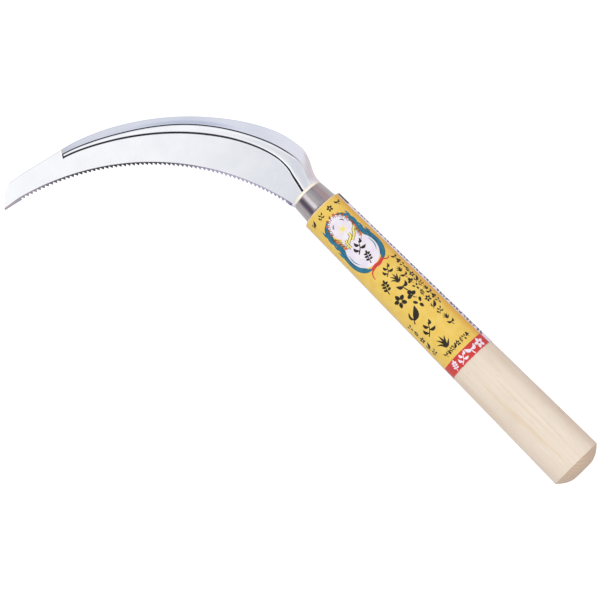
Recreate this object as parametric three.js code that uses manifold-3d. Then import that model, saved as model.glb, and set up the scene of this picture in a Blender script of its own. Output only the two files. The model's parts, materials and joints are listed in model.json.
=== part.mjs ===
// A hand sickle for harvesting: a toothed steel blade pinned into a turned wooden handle, with a
// steel ferrule round the joint and a paper wrapper round the grip.
//
// Each piece is drawn in the tool's own frame, in millimetres: the origin is the centre of the
// ferrule's mouth, +X runs forward out of the handle, +Y is the side that the blade sweeps to, and
// +Z is the side that faces up. Two nested groups then lay the whole tool on a flat surface.
import * as THREE from 'three';
import { mergeVertices } from 'three/addons/utils/BufferGeometryUtils.js';
import Module from 'manifold-3d';

const wasm = await Module();
wasm.setup();

const DEGREE = Math.PI / 180;

// ---- Driving dimensions, mm ----

const fit = 0.3; // clearance between pieces that meet
const roundSides = 48; // flats round the handle, ferrule and wrapper

// Handle
const handleLength = 207.9; // ferrule mouth to the rim of the butt
const shoulderRadius = 12.9; // the thin end, just behind the ferrule
const buttRadius = 15.7; // the rim of the butt
const buttDome = 5.1; // how far the domed end stands past the rim
const buttFlatRadius = 5; // the flat left in the middle of the domed end
const shoulderRound = 0.5; // broken edge of the shoulder
const noseStandout = 2; // bare wood that shows past the ferrule's mouth, slotted for the neck

// Ferrule
const ferruleLength = 11.2;
const ferruleMouthRadius = 10;
const ferruleBaseRadius = 10.8;
const ferruleWall = 0.6;

// Blade
const sheetThickness = 1.2;
const edgeRadius = 146.1; // the curve of the toothed edge
const edgeStart = -77.6 * DEGREE; // where the heel stands on that curve
const edgeSweep = 66 * DEGREE; // from heel to point
const heel = new THREE.Vector2(3.3, 11); // where the toothed edge begins
const neckInnerHalf = 10.1; // half widths of the neck at the shoulders
const neckOuterHalf = 10;
const neckWaist = new THREE.Vector2(4.3, -10.2); // on its outer side, half way to the heel
const bevelWidth = 2.4;
const edgeThickness = 0.25;
const pointLag = 0.046; // how far the back stops short of the point, as a share of the edge
const pointLagStart = 0.86;

// Teeth
const toothPitch = 2.5;
const toothDepth = 1.2;
const toothPeak = 0.2; // where in its pitch a tooth stands highest, from its handle side
const plainHeel = 1.5; // edge without teeth at each end
const plainPoint = 7.5;

// Pressed rib
const ribRise = 1.8;
const ribEndRise = 0.9; // its height where it stops
const ribEnd = 0.765; // where it stops, as a share of the edge
const ribStep = 0.9; // width of its steep inner side
const ribCrown = 0.25; // how much its top is domed
const ribFade = 13; // length over which it dies away inside the handle

// Tang and its pin
const tangLength = 66; // behind the ferrule's mouth
const tangFrontWidth = 11.2;
const tangEndWidth = 7.6;
const pinRadius = 1.1;
const pinSetback = 6; // behind the ferrule's mouth
const pinReach = 6; // how far it goes past the tang
const pinHeadRadius = 1.7;
const pinHeadHeight = 0.5;
const pinSides = 16;

// Paper wrapper
const wrapperLength = 117;
const wrapperThickness = 0.12;
const wrapperGap = 0.08; // between the wood and the paper
const wrapperLap = 15 * DEGREE; // how far one end lies over the other
const wrapperSeam = 112 * DEGREE; // where the lap is, from the top

// Width of the blade, square to the toothed edge, at shares of that edge from heel to point.
const bladeWidths = [
  [0, 23.4], [0.032, 28.4], [0.06, 31], [0.15, 32.9], [0.345, 29.6],
  [0.59, 23.4], [0.72, 19.2], [0.824, 14.9], [0.954, 12],
];
// The middle of the rib's steep inner side, as a share of the blade's width there.
const ribSide = [
  [0, 0.476], [0.036, 0.495], [0.071, 0.563], [0.112, 0.606], [0.27, 0.658], [0.62, 0.671], [ribEnd, 0.714],
];
// The crease along the rib's top, as a share of the blade's width.
const ribCrease = [[0, 0.79], [0.13, 0.772], [0.38, 0.826], [0.62, 0.788], [ribEnd, 0.816]];

// ---- Sizes that follow from them ----

const bladeNeckX = fit;
const shoulderX = -(ferruleLength + fit);
const wrapperFrontX = shoulderX - shoulderRound;
const pinHeadZ = -(Math.max(ferruleMouthRadius, ferruleBaseRadius) + fit);
const edgeCentre = new THREE.Vector2(
  heel.x - edgeRadius * Math.cos(edgeStart),
  heel.y - edgeRadius * Math.sin(edgeStart),
);
const edgeLength = edgeRadius * edgeSweep;

function handleRadiusAt(x) {
  const share = (shoulderX - x) / (shoulderX + handleLength);
  return THREE.MathUtils.lerp(shoulderRadius, buttRadius, share);
}

function ferruleRadiusAt(x) {
  return THREE.MathUtils.lerp(ferruleMouthRadius, ferruleBaseRadius, -x / ferruleLength);
}

// ---- Solids ----

// A geometry as a manifold solid, with its vertices merged.
function solidOf(geometry) {
  const bare = new THREE.BufferGeometry();
  bare.setAttribute('position', geometry.getAttribute('position'));
  if (geometry.index) bare.setIndex(geometry.index);
  const merged = mergeVertices(bare, 1e-4);
  return new wasm.Manifold(new wasm.Mesh({
    numProp: 3,
    vertProperties: merged.getAttribute('position').array,
    triVerts: new Uint32Array(merged.index.array),
  }));
}

function geometryOf(solid) {
  const mesh = solid.getMesh();
  const geometry = new THREE.BufferGeometry();
  geometry.setAttribute('position', new THREE.BufferAttribute(mesh.vertProperties, 3));
  geometry.setIndex(new THREE.BufferAttribute(mesh.triVerts, 1));
  return flatShaded(geometry);
}

function flatShaded(geometry) {
  const faces = geometry.index ? geometry.toNonIndexed() : geometry;
  faces.computeVertexNormals();
  return faces;
}

// A thin solid between two grids of points, closed along its four borders. Seen from above the
// upper grid, its rows run anticlockwise from its lines.
function sheetSolid(upper, lower) {
  const lines = upper.length;
  const rows = upper[0].length;
  const points = [...upper.flat(), ...lower.flat()];
  const top = (line, row) => line * rows + row;
  const bottom = (line, row) => lines * rows + top(line, row);
  const index = [];
  const quad = (a, b, c, d) => index.push(a, b, c, a, c, d);
  for (let line = 0; line < lines - 1; line++) {
    for (let row = 0; row < rows - 1; row++) {
      quad(top(line, row), top(line + 1, row), top(line + 1, row + 1), top(line, row + 1));
      quad(bottom(line, row), bottom(line, row + 1), bottom(line + 1, row + 1), bottom(line + 1, row));
    }
    quad(top(line, 0), bottom(line, 0), bottom(line + 1, 0), top(line + 1, 0));
    const last = rows - 1;
    quad(top(line, last), top(line + 1, last), bottom(line + 1, last), bottom(line, last));
  }
  for (let row = 0; row < rows - 1; row++) {
    quad(top(0, row), top(0, row + 1), bottom(0, row + 1), bottom(0, row));
    const end = lines - 1;
    quad(top(end, row), bottom(end, row), bottom(end, row + 1), top(end, row + 1));
  }
  const geometry = new THREE.BufferGeometry().setFromPoints(points);
  geometry.setIndex(index);
  return geometry;
}

// A round solid about the X axis, from [x, radius] points given from the front to the back.
function turned(profile) {
  const points = profile.map(([x, radius]) => new THREE.Vector2(radius, x));
  const geometry = new THREE.LatheGeometry(points.reverse(), roundSides);
  geometry.rotateZ(-Math.PI / 2);
  geometry.rotateX(Math.PI / 2);
  return geometry;
}

// An upright prism over an outline in the XY plane.
function prism(outline, low, high) {
  const shape = new THREE.Shape(outline.map(([x, y]) => new THREE.Vector2(x, y)));
  const geometry = new THREE.ExtrudeGeometry(shape, { depth: high - low, bevelEnabled: false });
  geometry.translate(0, 0, low);
  return geometry;
}

// An upright round rod.
function rod(radius, x, low, high) {
  const geometry = new THREE.CylinderGeometry(radius, radius, high - low, pinSides);
  geometry.rotateX(Math.PI / 2);
  geometry.translate(x, 0, (low + high) / 2);
  return geometry;
}

// A smooth curve through [at, value] points, held level past its ends.
function along(points, at) {
  const last = points.length - 1;
  const slope = (i) => {
    const before = points[Math.max(i - 1, 0)];
    const after = points[Math.min(i + 1, last)];
    return (after[1] - before[1]) / (after[0] - before[0]);
  };
  if (at <= points[0][0]) return points[0][1];
  if (at >= points[last][0]) return points[last][1];
  const i = points.findIndex((point) => point[0] > at) - 1;
  const gap = points[i + 1][0] - points[i][0];
  const t = (at - points[i][0]) / gap;
  const start = (1 + 2 * t) * (1 - t) ** 2 * points[i][1] + t * (1 - t) ** 2 * gap * slope(i);
  const end = t * t * (3 - 2 * t) * points[i + 1][1] + t * t * (t - 1) * gap * slope(i + 1);
  return start + end;
}

// ---- Blade ----

// A point of the blade in plan: its share of the toothed edge, and how far across the blade it is.
function planPoint(share, across) {
  const lag = pointLag * THREE.MathUtils.smoothstep(share, pointLagStart, 1) * across * across;
  const angle = edgeStart + edgeSweep * (share - lag);
  const radius = edgeRadius + across * along(bladeWidths, share - lag);
  return new THREE.Vector2(
    edgeCentre.x + radius * Math.cos(angle),
    edgeCentre.y + radius * Math.sin(angle),
  );
}

function ribRiseAt(share) {
  if (share > ribEnd) return 0;
  return THREE.MathUtils.lerp(ribRise, ribEndRise, THREE.MathUtils.smoothstep(share, 0.3, ribEnd));
}

// One line across the blade, from its toothed edge to its back: how far across each row is, and how
// high the sheet's middle is there. The rib's steep side runs from its foot to its brow, and its top
// from there to its crease, where the back band begins.
function sectionRows(share, width, rise) {
  const side = along(ribSide, share);
  const foot = side - ribStep / width / 2;
  const brow = side + ribStep / width / 2;
  const crease = along(ribCrease, share);
  return [
    [bevelWidth / width, 0],
    [foot, 0],
    [brow, rise],
    [(brow + crease) / 2, rise * (1 + ribCrown / ribRise)],
    [crease, rise],
    [(crease + 1) / 2, rise * 0.62],
    [1, rise * 0.12],
  ];
}

function sheetLine(edgePoint, rows, pointAt) {
  const half = sheetThickness / 2;
  const upper = [new THREE.Vector3(edgePoint.x, edgePoint.y, edgeThickness - half)];
  const lower = [new THREE.Vector3(edgePoint.x, edgePoint.y, -half)];
  for (const [across, height] of rows) {
    const point = pointAt(across);
    upper.push(new THREE.Vector3(point.x, point.y, height + half));
    lower.push(new THREE.Vector3(point.x, point.y, height - half));
  }
  return { upper, lower };
}

// A line square to the toothed edge. A tooth's gullet sets the edge back.
function bladeLine(share, setback) {
  const width = along(bladeWidths, share);
  const edgePoint = planPoint(share, setback / width);
  const rows = sectionRows(share, width, ribRiseAt(share));
  return sheetLine(edgePoint, rows, (across) => planPoint(share, across));
}

// A line square to the handle, in the neck or the tang. The edge is left square there.
function neckLine(inner, outer, rise) {
  const rows = sectionRows(0, inner.distanceTo(outer), rise);
  const line = sheetLine(inner, rows, (across) => inner.clone().lerp(outer, across));
  line.upper[0].z = sheetThickness / 2;
  return line;
}

function toothLines() {
  const count = Math.floor((edgeLength - plainHeel - plainPoint) / toothPitch);
  const lines = [bladeLine(0, 0), bladeLine(plainHeel / edgeLength / 2, 0)];
  for (let tooth = 0; tooth < count; tooth++) {
    const start = plainHeel + tooth * toothPitch;
    lines.push(bladeLine(start / edgeLength, toothDepth));
    lines.push(bladeLine((start + toothPeak * toothPitch) / edgeLength, 0));
  }
  const plainStart = (plainHeel + count * toothPitch) / edgeLength;
  const plainSteps = 4;
  for (let step = 0; step <= plainSteps; step++) {
    lines.push(bladeLine(THREE.MathUtils.lerp(plainStart, 1, step / plainSteps), 0));
  }
  return lines;
}

function neckLines() {
  const shoulderInner = new THREE.Vector2(bladeNeckX, neckInnerHalf);
  const shoulderOuter = new THREE.Vector2(bladeNeckX, -neckOuterHalf);
  const middleInner = heel.clone().lerp(shoulderInner, 0.5);
  const lines = [
    neckLine(middleInner, neckWaist, ribRise),
    neckLine(shoulderInner, shoulderOuter, ribRise),
  ];
  const tangSteps = 8;
  for (let step = 1; step <= tangSteps; step++) {
    const x = THREE.MathUtils.lerp(bladeNeckX, -tangLength, (step / tangSteps) ** 1.5);
    const rise = ribRise * (1 - THREE.MathUtils.smoothstep(bladeNeckX - x, 0, ribFade));
    const inner = new THREE.Vector2(x, neckInnerHalf);
    lines.push(neckLine(inner, new THREE.Vector2(x, -neckOuterHalf), rise));
  }
  return lines;
}

// The tang's tapering outline, with a margin round it, from its end to x = front.
function tangOutline(front, margin) {
  const frontHalf = tangFrontWidth / 2 + margin;
  const endHalf = tangEndWidth / 2 + margin;
  const end = -(tangLength + margin);
  return [[end, endHalf], [end, -endHalf], [front, -frontHalf], [front, frontHalf]];
}

// What is cut away beside the tang, on one side (+1 or -1), to leave the blade's shoulders.
function shoulderCut(side) {
  const beyond = 2 * neckOuterHalf;
  const past = -(tangLength + fit);
  const outline = [
    [bladeNeckX, side * tangFrontWidth / 2], [past, side * tangEndWidth / 2],
    [past, side * beyond], [bladeNeckX, side * beyond],
  ];
  return solidOf(prism(outline, -ribRise - sheetThickness, 2 * ribRise + sheetThickness));
}

function blade() {
  const lines = [...toothLines().reverse(), ...neckLines()];
  const sheet = solidOf(sheetSolid(lines.map((line) => line.upper), lines.map((line) => line.lower)));
  const pinHole = solidOf(rod(pinRadius + fit, -pinSetback, -tangLength, tangLength));
  return geometryOf(sheet.subtract(shoulderCut(1)).subtract(shoulderCut(-1)).subtract(pinHole));
}

// ---- Ferrule ----

function ferrule() {
  const mouth = [[0, ferruleMouthRadius - ferruleWall], [0, ferruleMouthRadius]];
  const base = [[-ferruleLength, ferruleBaseRadius], [-ferruleLength, ferruleBaseRadius - ferruleWall]];
  const tube = solidOf(turned([...mouth, ...base, mouth[0]]));
  const pinHole = solidOf(rod(pinRadius + fit, -pinSetback, -2 * ferruleBaseRadius, 0));
  return geometryOf(tube.subtract(pinHole));
}

// ---- Handle ----

function handleProfile() {
  const noseInset = ferruleWall + fit;
  const noseFront = ferruleMouthRadius - noseInset;
  const domeSteps = 4;
  const profile = [
    [noseStandout, 0],
    [noseStandout, noseFront - 0.4],
    [noseStandout - 0.4, noseFront],
    [0, noseFront],
    [shoulderX, ferruleRadiusAt(-ferruleLength) - noseInset],
    [shoulderX, shoulderRadius - shoulderRound],
    [shoulderX - shoulderRound, handleRadiusAt(shoulderX - shoulderRound)],
  ];
  for (let step = 0; step <= domeSteps; step++) {
    const share = step / domeSteps;
    const radius = THREE.MathUtils.lerp(buttRadius, buttFlatRadius, share);
    profile.push([-handleLength - buttDome * (1 - (1 - share) ** 2), radius]);
  }
  profile.push([-handleLength - buttDome, 0]);
  return profile;
}

function handle() {
  const wood = solidOf(turned(handleProfile()));
  const slotLow = -sheetThickness / 2 - fit;
  const slotHigh = ribRise + ribCrown + sheetThickness / 2 + fit;
  const slot = solidOf(prism(tangOutline(2 * noseStandout, fit), slotLow, slotHigh));
  const past = 2 * ferruleMouthRadius;
  const neckSlot = [[0, -past], [2 * noseStandout, -past], [2 * noseStandout, past], [0, past]];
  const mouth = solidOf(prism(neckSlot, slotLow, slotHigh));
  const pinTop = sheetThickness / 2 + pinReach + fit;
  const pinHole = solidOf(rod(pinRadius + fit, -pinSetback, -2 * ferruleBaseRadius, pinTop));
  return geometryOf(wood.subtract(slot).subtract(mouth).subtract(pinHole));
}

// ---- Pin ----

function tangPin() {
  const profile = [
    [0, pinHeadZ - pinHeadHeight], [pinHeadRadius * 0.8, pinHeadZ - pinHeadHeight],
    [pinHeadRadius, pinHeadZ - pinHeadHeight / 2], [pinHeadRadius, pinHeadZ],
    [pinRadius, pinHeadZ], [pinRadius, sheetThickness / 2 + pinReach - pinRadius],
    [0, sheetThickness / 2 + pinReach],
  ];
  const points = profile.map(([radius, z]) => new THREE.Vector2(radius, z));
  const geometry = new THREE.LatheGeometry(points, pinSides);
  geometry.rotateX(Math.PI / 2);
  geometry.translate(-pinSetback, 0, 0);
  return flatShaded(geometry);
}

// ---- Wrapper ----

// The paper's cross-section follows the wood's flats, then lies over its own first end.
function paperWrapper() {
  const flat = 2 * Math.PI / roundSides;
  const lapFlats = Math.max(1, Math.round(wrapperLap / flat));
  const firstCorner = Math.round(wrapperSeam / flat);
  const upper = [];
  const lower = [];
  for (let corner = 0; corner < roundSides + lapFlats; corner++) {
    const angle = (firstCorner + corner) * flat;
    const overLap = Math.max(0, Math.min(corner - (roundSides - 2), 1));
    const lift = wrapperGap + overLap * (wrapperThickness + wrapperGap);
    const ring = (x, radius) => new THREE.Vector3(x, -radius * Math.sin(angle), radius * Math.cos(angle));
    const ends = [wrapperFrontX - wrapperLength, wrapperFrontX];
    upper.push(ends.map((x) => ring(x, handleRadiusAt(x) + lift + wrapperThickness)));
    lower.push(ends.map((x) => ring(x, handleRadiusAt(x) + lift)));
  }
  return flatShaded(sheetSolid(upper, lower));
}

// ---- Assembly ----

function piece(name, geometry, color, roughness, metalness) {
  const mesh = new THREE.Mesh(geometry, new THREE.MeshStandardMaterial({ color, roughness, metalness }));
  mesh.name = name;
  return mesh;
}

// The tool lies along the underside of the wrapper and on the blade's point.
function laidDown(tool) {
  const frontRadius = handleRadiusAt(wrapperFrontX) + wrapperGap + wrapperThickness;
  const slope = (buttRadius - shoulderRadius) / (handleLength + shoulderX);
  const point = planPoint(1, 0);
  const underside = -sheetThickness / 2;
  const drop = frontRadius + (wrapperFrontX - point.x) * slope;
  const roll = Math.atan2(underside, point.y) + Math.asin(drop / Math.hypot(point.y, underside));
  tool.rotation.x = -roll;
  const level = new THREE.Group();
  level.add(tool);
  level.rotation.y = Math.atan(slope);
  const box = new THREE.Box3().setFromObject(level, true);
  const middle = box.getCenter(new THREE.Vector3());
  level.position.set(-middle.x, -middle.y, -box.min.z);
  const laid = new THREE.Group();
  laid.add(level);
  return laid;
}

const tool = new THREE.Group();
tool.add(
  piece('blade', blade(), 0xdfe2ea, 0.25, 1),
  piece('ferrule', ferrule(), 0xb5b0b2, 0.2, 1),
  piece('handle', handle(), 0xe8dccb, 0.6, 0),
  piece('tang_pin', tangPin(), 0x9c9a98, 0.35, 1),
  piece('paper_wrapper', paperWrapper(), 0xe8c95a, 0.5, 0),
);

export default laidDown(tool);
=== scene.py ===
"""The looks of a toothed hand sickle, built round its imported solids.

Every piece is drawn in the tool's own frame, in millimetres: the origin is the centre of the ferrule's
mouth, +X runs forward out of the handle, +Y is the side that the blade sweeps to, and +Z faces up.
ToolFrame then places it in the row frame, in metres.
"""
import json
import logging
import math
from collections import Counter
from dataclasses import dataclass, field
from enum import Enum
from typing import Callable, Iterator, Sequence

import bmesh
import bpy
import numpy as np
from mathutils import Matrix, Vector
from mathutils.geometry import delaunay_2d_cdt


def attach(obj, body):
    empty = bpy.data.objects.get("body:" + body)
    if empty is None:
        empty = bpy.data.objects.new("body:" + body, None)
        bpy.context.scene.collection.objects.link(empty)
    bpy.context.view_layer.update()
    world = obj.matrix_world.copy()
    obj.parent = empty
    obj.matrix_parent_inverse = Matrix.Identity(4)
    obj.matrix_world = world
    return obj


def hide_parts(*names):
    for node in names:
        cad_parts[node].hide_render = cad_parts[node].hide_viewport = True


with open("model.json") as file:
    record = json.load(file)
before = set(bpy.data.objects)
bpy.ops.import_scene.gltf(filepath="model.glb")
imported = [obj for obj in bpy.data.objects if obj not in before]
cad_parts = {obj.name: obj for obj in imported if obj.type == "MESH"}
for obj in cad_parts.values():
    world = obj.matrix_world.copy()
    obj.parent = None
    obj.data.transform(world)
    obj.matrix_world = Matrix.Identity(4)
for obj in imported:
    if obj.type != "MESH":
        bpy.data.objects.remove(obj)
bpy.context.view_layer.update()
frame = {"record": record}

LOG = logging.getLogger("sickle")
MM = 0.001

Pair = tuple[float, float]
Place = tuple[float, float, float]
Colour = tuple[float, float, float, float]


# ---- Curves and colours ----

def lerp(start: float, end: float, share: float) -> float:
    """The value that far from start to end."""
    return start + (end - start) * share


def smoothstep(value: float, low: float, high: float) -> float:
    """0 below low, 1 above high, and a smooth rise between."""
    share = min(max((value - low) / (high - low), 0.0), 1.0)
    return share * share * (3 - 2 * share)


def along(points: Sequence[Pair], at: float) -> float:
    """A smooth curve through points, held level past its ends.

    Args:
        points: (place, value) pairs in rising order of place.
        at: the place to read.

    Returns:
        The curve's value there.
    """
    if at <= points[0][0]:
        return points[0][1]
    if at >= points[-1][0]:
        return points[-1][1]
    last = len(points) - 1

    def slope(index: int) -> float:
        """The slope at one of the points, from its neighbours."""
        before = points[max(index - 1, 0)]
        after = points[min(index + 1, last)]
        return (after[1] - before[1]) / (after[0] - before[0])

    index = next(i for i in range(last) if points[i + 1][0] > at)
    gap = points[index + 1][0] - points[index][0]
    share = (at - points[index][0]) / gap
    ends = (points[index][1], points[index + 1][1])
    return hermite(ends, (gap * slope(index), gap * slope(index + 1)), share)


def hermite(ends: Pair, slopes: Pair, share: float) -> float:
    """A cubic between two values that leaves and arrives at the given slopes."""
    square, cube = share * share, share ** 3
    start = (2 * cube - 3 * square + 1) * ends[0] + (cube - 2 * square + share) * slopes[0]
    return start + (3 * square - 2 * cube) * ends[1] + (cube - square) * slopes[1]


def display(red: float, green: float, blue: float) -> Colour:
    """A colour given as it looks on a screen, 0 to 255, as the shader's linear colour."""
    def linear(value: float) -> float:
        """One channel without the screen's curve."""
        share = value / 255
        return share / 12.92 if share <= 0.04045 else ((share + 0.055) / 1.055) ** 2.4

    return linear(red), linear(green), linear(blue), 1.0


# ---- Frame and meshes ----

@dataclass
class Draft:
    """A mesh being drawn in the tool's own frame, in millimetres."""

    points: list[Place] = field(default_factory=list)
    faces: list[tuple[int, ...]] = field(default_factory=list)
    slots: list[int] = field(default_factory=list)
    masks: dict[str, list[float]] = field(default_factory=dict)
    places: list[Place] = field(default_factory=list)

    def mesh(self, name: str) -> bpy.types.Mesh:
        """The draft as a Blender mesh with its faces turned outwards.

        Args:
            name: the mesh's name.

        Returns:
            The mesh, still in millimetres in the tool's frame.
        """
        mesh = bpy.data.meshes.new(name)
        mesh.from_pydata(self.points, [], self.faces)
        if self.slots:
            mesh.polygons.foreach_set("material_index", self.slots)
        work = bmesh.new()
        work.from_mesh(mesh)
        bmesh.ops.recalc_face_normals(work, faces=work.faces)
        work.to_mesh(mesh)
        work.free()
        for mask, values in self.masks.items():
            mesh.attributes.new(mask, "FLOAT", "POINT").data.foreach_set("value", values)
        if self.places:
            write_places(mesh, np.array(self.places))
        return mesh


def write_places(mesh: bpy.types.Mesh, places: np.ndarray) -> None:
    """Stores where each vertex is on the tool, in millimetres, for the textures to follow."""
    stored = mesh.attributes.new("tool_place", "FLOAT_VECTOR", "POINT")
    stored.data.foreach_set("vector", places.astype(np.float32).ravel())


def mesh_points(mesh: bpy.types.Mesh) -> np.ndarray:
    """The mesh's vertices as rows of three numbers."""
    flat = np.zeros(len(mesh.vertices) * 3, np.float32)
    mesh.vertices.foreach_get("co", flat)
    return flat.reshape(-1, 3)


@dataclass(frozen=True)
class ToolFrame:
    """Where the tool's own frame lies in the row frame."""

    matrix: Matrix

    @classmethod
    def from_record(cls, record: dict, butt_reach: float) -> "ToolFrame":
        """Reads the frame from the record's two mounts.

        Args:
            record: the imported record.
            butt_reach: how far the butt face is behind the tool's origin, in millimetres.

        Returns:
            The tool's frame.
        """
        mounts = {mount["name"]: mount for mount in record["mounts"]}
        forward = -Vector(mounts["butt_face"]["axis"]).normalized()
        up = -Vector(mounts["blade_underside"]["axis"]).normalized()
        side = up.cross(forward).normalized()
        up = forward.cross(side)
        origin = Vector(mounts["butt_face"]["pos_m"]) + forward * butt_reach * MM
        axes = Matrix((forward, side, up)).transposed().to_4x4()
        return cls(Matrix.Translation(origin) @ axes)

    def place(self, mesh: bpy.types.Mesh, name: str) -> bpy.types.Object:
        """Turns a mesh in millimetres into an object in the row frame.

        Args:
            mesh: the mesh in the tool's frame, in millimetres.
            name: the object's name.

        Returns:
            The object, linked to the scene.
        """
        if "tool_place" not in mesh.attributes:
            write_places(mesh, mesh_points(mesh))
        mesh.transform(self.matrix @ Matrix.Scale(MM, 4))
        obj = bpy.data.objects.new(name, mesh)
        bpy.context.scene.collection.objects.link(obj)
        return obj

    def direction(self, x: float, y: float, z: float) -> Vector:
        """A direction of the tool's frame, in the row frame."""
        return self.matrix.to_3x3() @ Vector((x, y, z))


def smooth(mesh: bpy.types.Mesh, crease_degrees: float) -> None:
    """Shades the mesh smooth, with edges sharper than the given angle left crisp."""
    mesh.shade_smooth()
    mesh.set_sharp_from_angle(angle=math.radians(crease_degrees))


def cut(mesh: bpy.types.Mesh, cutters: Sequence[bpy.types.Mesh]) -> bpy.types.Mesh:
    """Cuts closed meshes out of a mesh.

    Args:
        mesh: the mesh to cut.
        cutters: closed meshes in the same frame.

    Returns:
        The cut mesh.
    """
    body = bpy.data.objects.new(mesh.name, mesh)
    tools = [bpy.data.objects.new(cutter.name, cutter) for cutter in cutters]
    for obj in [body, *tools]:
        bpy.context.scene.collection.objects.link(obj)
    for tool in tools:
        modifier = body.modifiers.new(tool.name, "BOOLEAN")
        modifier.object = tool
        modifier.solver = "EXACT"
    evaluated = body.evaluated_get(bpy.context.evaluated_depsgraph_get())
    result = bpy.data.meshes.new_from_object(evaluated)
    for obj in [body, *tools]:
        bpy.data.objects.remove(obj)
    return result


def lathe(profile: Sequence[Pair], sides: int, closed: bool = False) -> Draft:
    """A round body about the X axis.

    Args:
        profile: (x, radius) points; a radius of 0 gives a point on the axis.
        sides: how many points go round.
        closed: whether the profile's last point joins its first.

    Returns:
        The body.
    """
    draft = Draft()
    rings: list[list[int]] = []
    for x, radius in profile:
        count = sides if radius > 0 else 1
        first = len(draft.points)
        for side in range(count):
            angle = 2 * math.pi * side / sides
            draft.points.append((x, -radius * math.sin(angle), radius * math.cos(angle)))
        rings.append(list(range(first, first + count)))
    pairs = list(zip(rings, rings[1:]))
    if closed:
        pairs.append((rings[-1], rings[0]))
    for before, after in pairs:
        for side in range(sides):
            corners = [before[side % len(before)], before[(side + 1) % len(before)]]
            corners += [after[(side + 1) % len(after)], after[side % len(after)]]
            unique = tuple(dict.fromkeys(corners))
            draft.faces.append(unique)
    return draft


def upright(draft: Draft, x: float) -> Draft:
    """Stands a body made about the X axis upright, with its axis at the given x."""
    draft.points = [(x + point[2], point[1], point[0]) for point in draft.points]
    return draft


def pin_bore(radius: float, setback: float, top: float) -> bpy.types.Mesh:
    """The cutter for the pin's hole, from well below the tool up to the given height."""
    below = -40.0
    profile = [(below, 0), (below, radius), (top, radius), (top, 0)]
    return upright(lathe(profile, 32), -setback).mesh("pin_bore")


def store_mask(mesh: bpy.types.Mesh, name: str, values: np.ndarray) -> None:
    """Stores one number for each vertex, for a material to read."""
    mesh.attributes.new(name, "FLOAT", "POINT").data.foreach_set("value", values.astype(np.float32))


def prism(outline: Sequence[Pair], low: float, high: float) -> Draft:
    """An upright prism over an outline in plan."""
    count = len(outline)
    draft = Draft([(x, y, low) for x, y in outline] + [(x, y, high) for x, y in outline])
    draft.faces = [tuple(range(count)), tuple(range(count, 2 * count))]
    for side in range(count):
        after = (side + 1) % count
        draft.faces.append((side, after, count + after, count + side))
    return draft


# ---- Shader graphs ----

class Graph:
    """Short calls that fill one node tree."""

    def __init__(self, tree: bpy.types.NodeTree) -> None:
        """Starts with an empty tree."""
        self.tree = tree
        tree.nodes.clear()

    def feed(self, socket: bpy.types.NodeSocket, value: object) -> None:
        """Links a socket, or sets its value."""
        if isinstance(value, bpy.types.NodeSocket):
            self.tree.links.new(value, socket)
        else:
            socket.default_value = value

    def add(self, kind: str, inputs: dict | None = None, **options: object) -> bpy.types.Node:
        """Adds a node.

        Args:
            kind: Blender's name for the node.
            inputs: values or sockets for its inputs, by input name or number.
            options: the node's own settings.

        Returns:
            The node.
        """
        node = self.tree.nodes.new(kind)
        for name, value in options.items():
            setattr(node, name, value)
        for name, value in (inputs or {}).items():
            self.feed(node.inputs[name], value)
        return node

    def math(self, operation: str, *values: object) -> bpy.types.NodeSocket:
        """One sum on numbers or sockets."""
        node = self.add("ShaderNodeMath", dict(enumerate(values)), operation=operation)
        return node.outputs[0]

    def blend(self, factor: object, first: object, second: object) -> bpy.types.NodeSocket:
        """A mix of two colours."""
        inputs = {0: factor, 6: first, 7: second}
        return self.add("ShaderNodeMix", inputs, data_type="RGBA").outputs[2]

    def remap(self, value: object, source: Pair, target: Pair = (0.0, 1.0)) -> bpy.types.NodeSocket:
        """A number moved smoothly from one range to another, and held at its ends."""
        names = ("From Min", "From Max", "To Min", "To Max")
        inputs = {"Value": value, **dict(zip(names, (*source, *target)))}
        node = self.add("ShaderNodeMapRange", inputs, interpolation_type="SMOOTHSTEP")
        return node.outputs["Result"]

    def stretch(self, place: object, scale: Place) -> bpy.types.NodeSocket:
        """A place scaled along each axis."""
        node = self.add("ShaderNodeVectorMath", {0: place, 1: scale}, operation="MULTIPLY")
        return node.outputs[0]

    def noise(self, place: object, scale: float = 1.0, detail: float = 2.0) -> bpy.types.NodeSocket:
        """Soft random values, 0 to 1, over the place."""
        inputs = {"Vector": place, "Scale": scale, "Detail": detail}
        return self.add("ShaderNodeTexNoise", inputs).outputs["Fac"]

    def bump(self, shader: bpy.types.Node, height: object, strength: float, depth: float) -> None:
        """Gives a shader fine relief, whose depth is in metres."""
        inputs = {"Height": height, "Strength": strength, "Distance": depth}
        self.feed(shader.inputs["Normal"], self.add("ShaderNodeBump", inputs).outputs[0])

    def attribute(self, name: str, output: str = "Fac") -> bpy.types.NodeSocket:
        """A value stored on the mesh."""
        return self.add("ShaderNodeAttribute", attribute_name=name).outputs[output]

    def effect(self, tree: bpy.types.NodeTree, inputs: dict) -> bpy.types.Node:
        """Places a shared effect with this material's own values."""
        node = self.add("ShaderNodeGroup", node_tree=tree)
        for name, value in inputs.items():
            self.feed(node.inputs[name], value)
        return node


class Kind(Enum):
    """What a shared effect's socket carries."""

    NUMBER = "NodeSocketFloat"
    VECTOR = "NodeSocketVector"
    COLOUR = "NodeSocketColor"


Fill = Callable[[Graph, bpy.types.Node], dict[str, bpy.types.NodeSocket]]
Sockets = dict[str, Kind]


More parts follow.
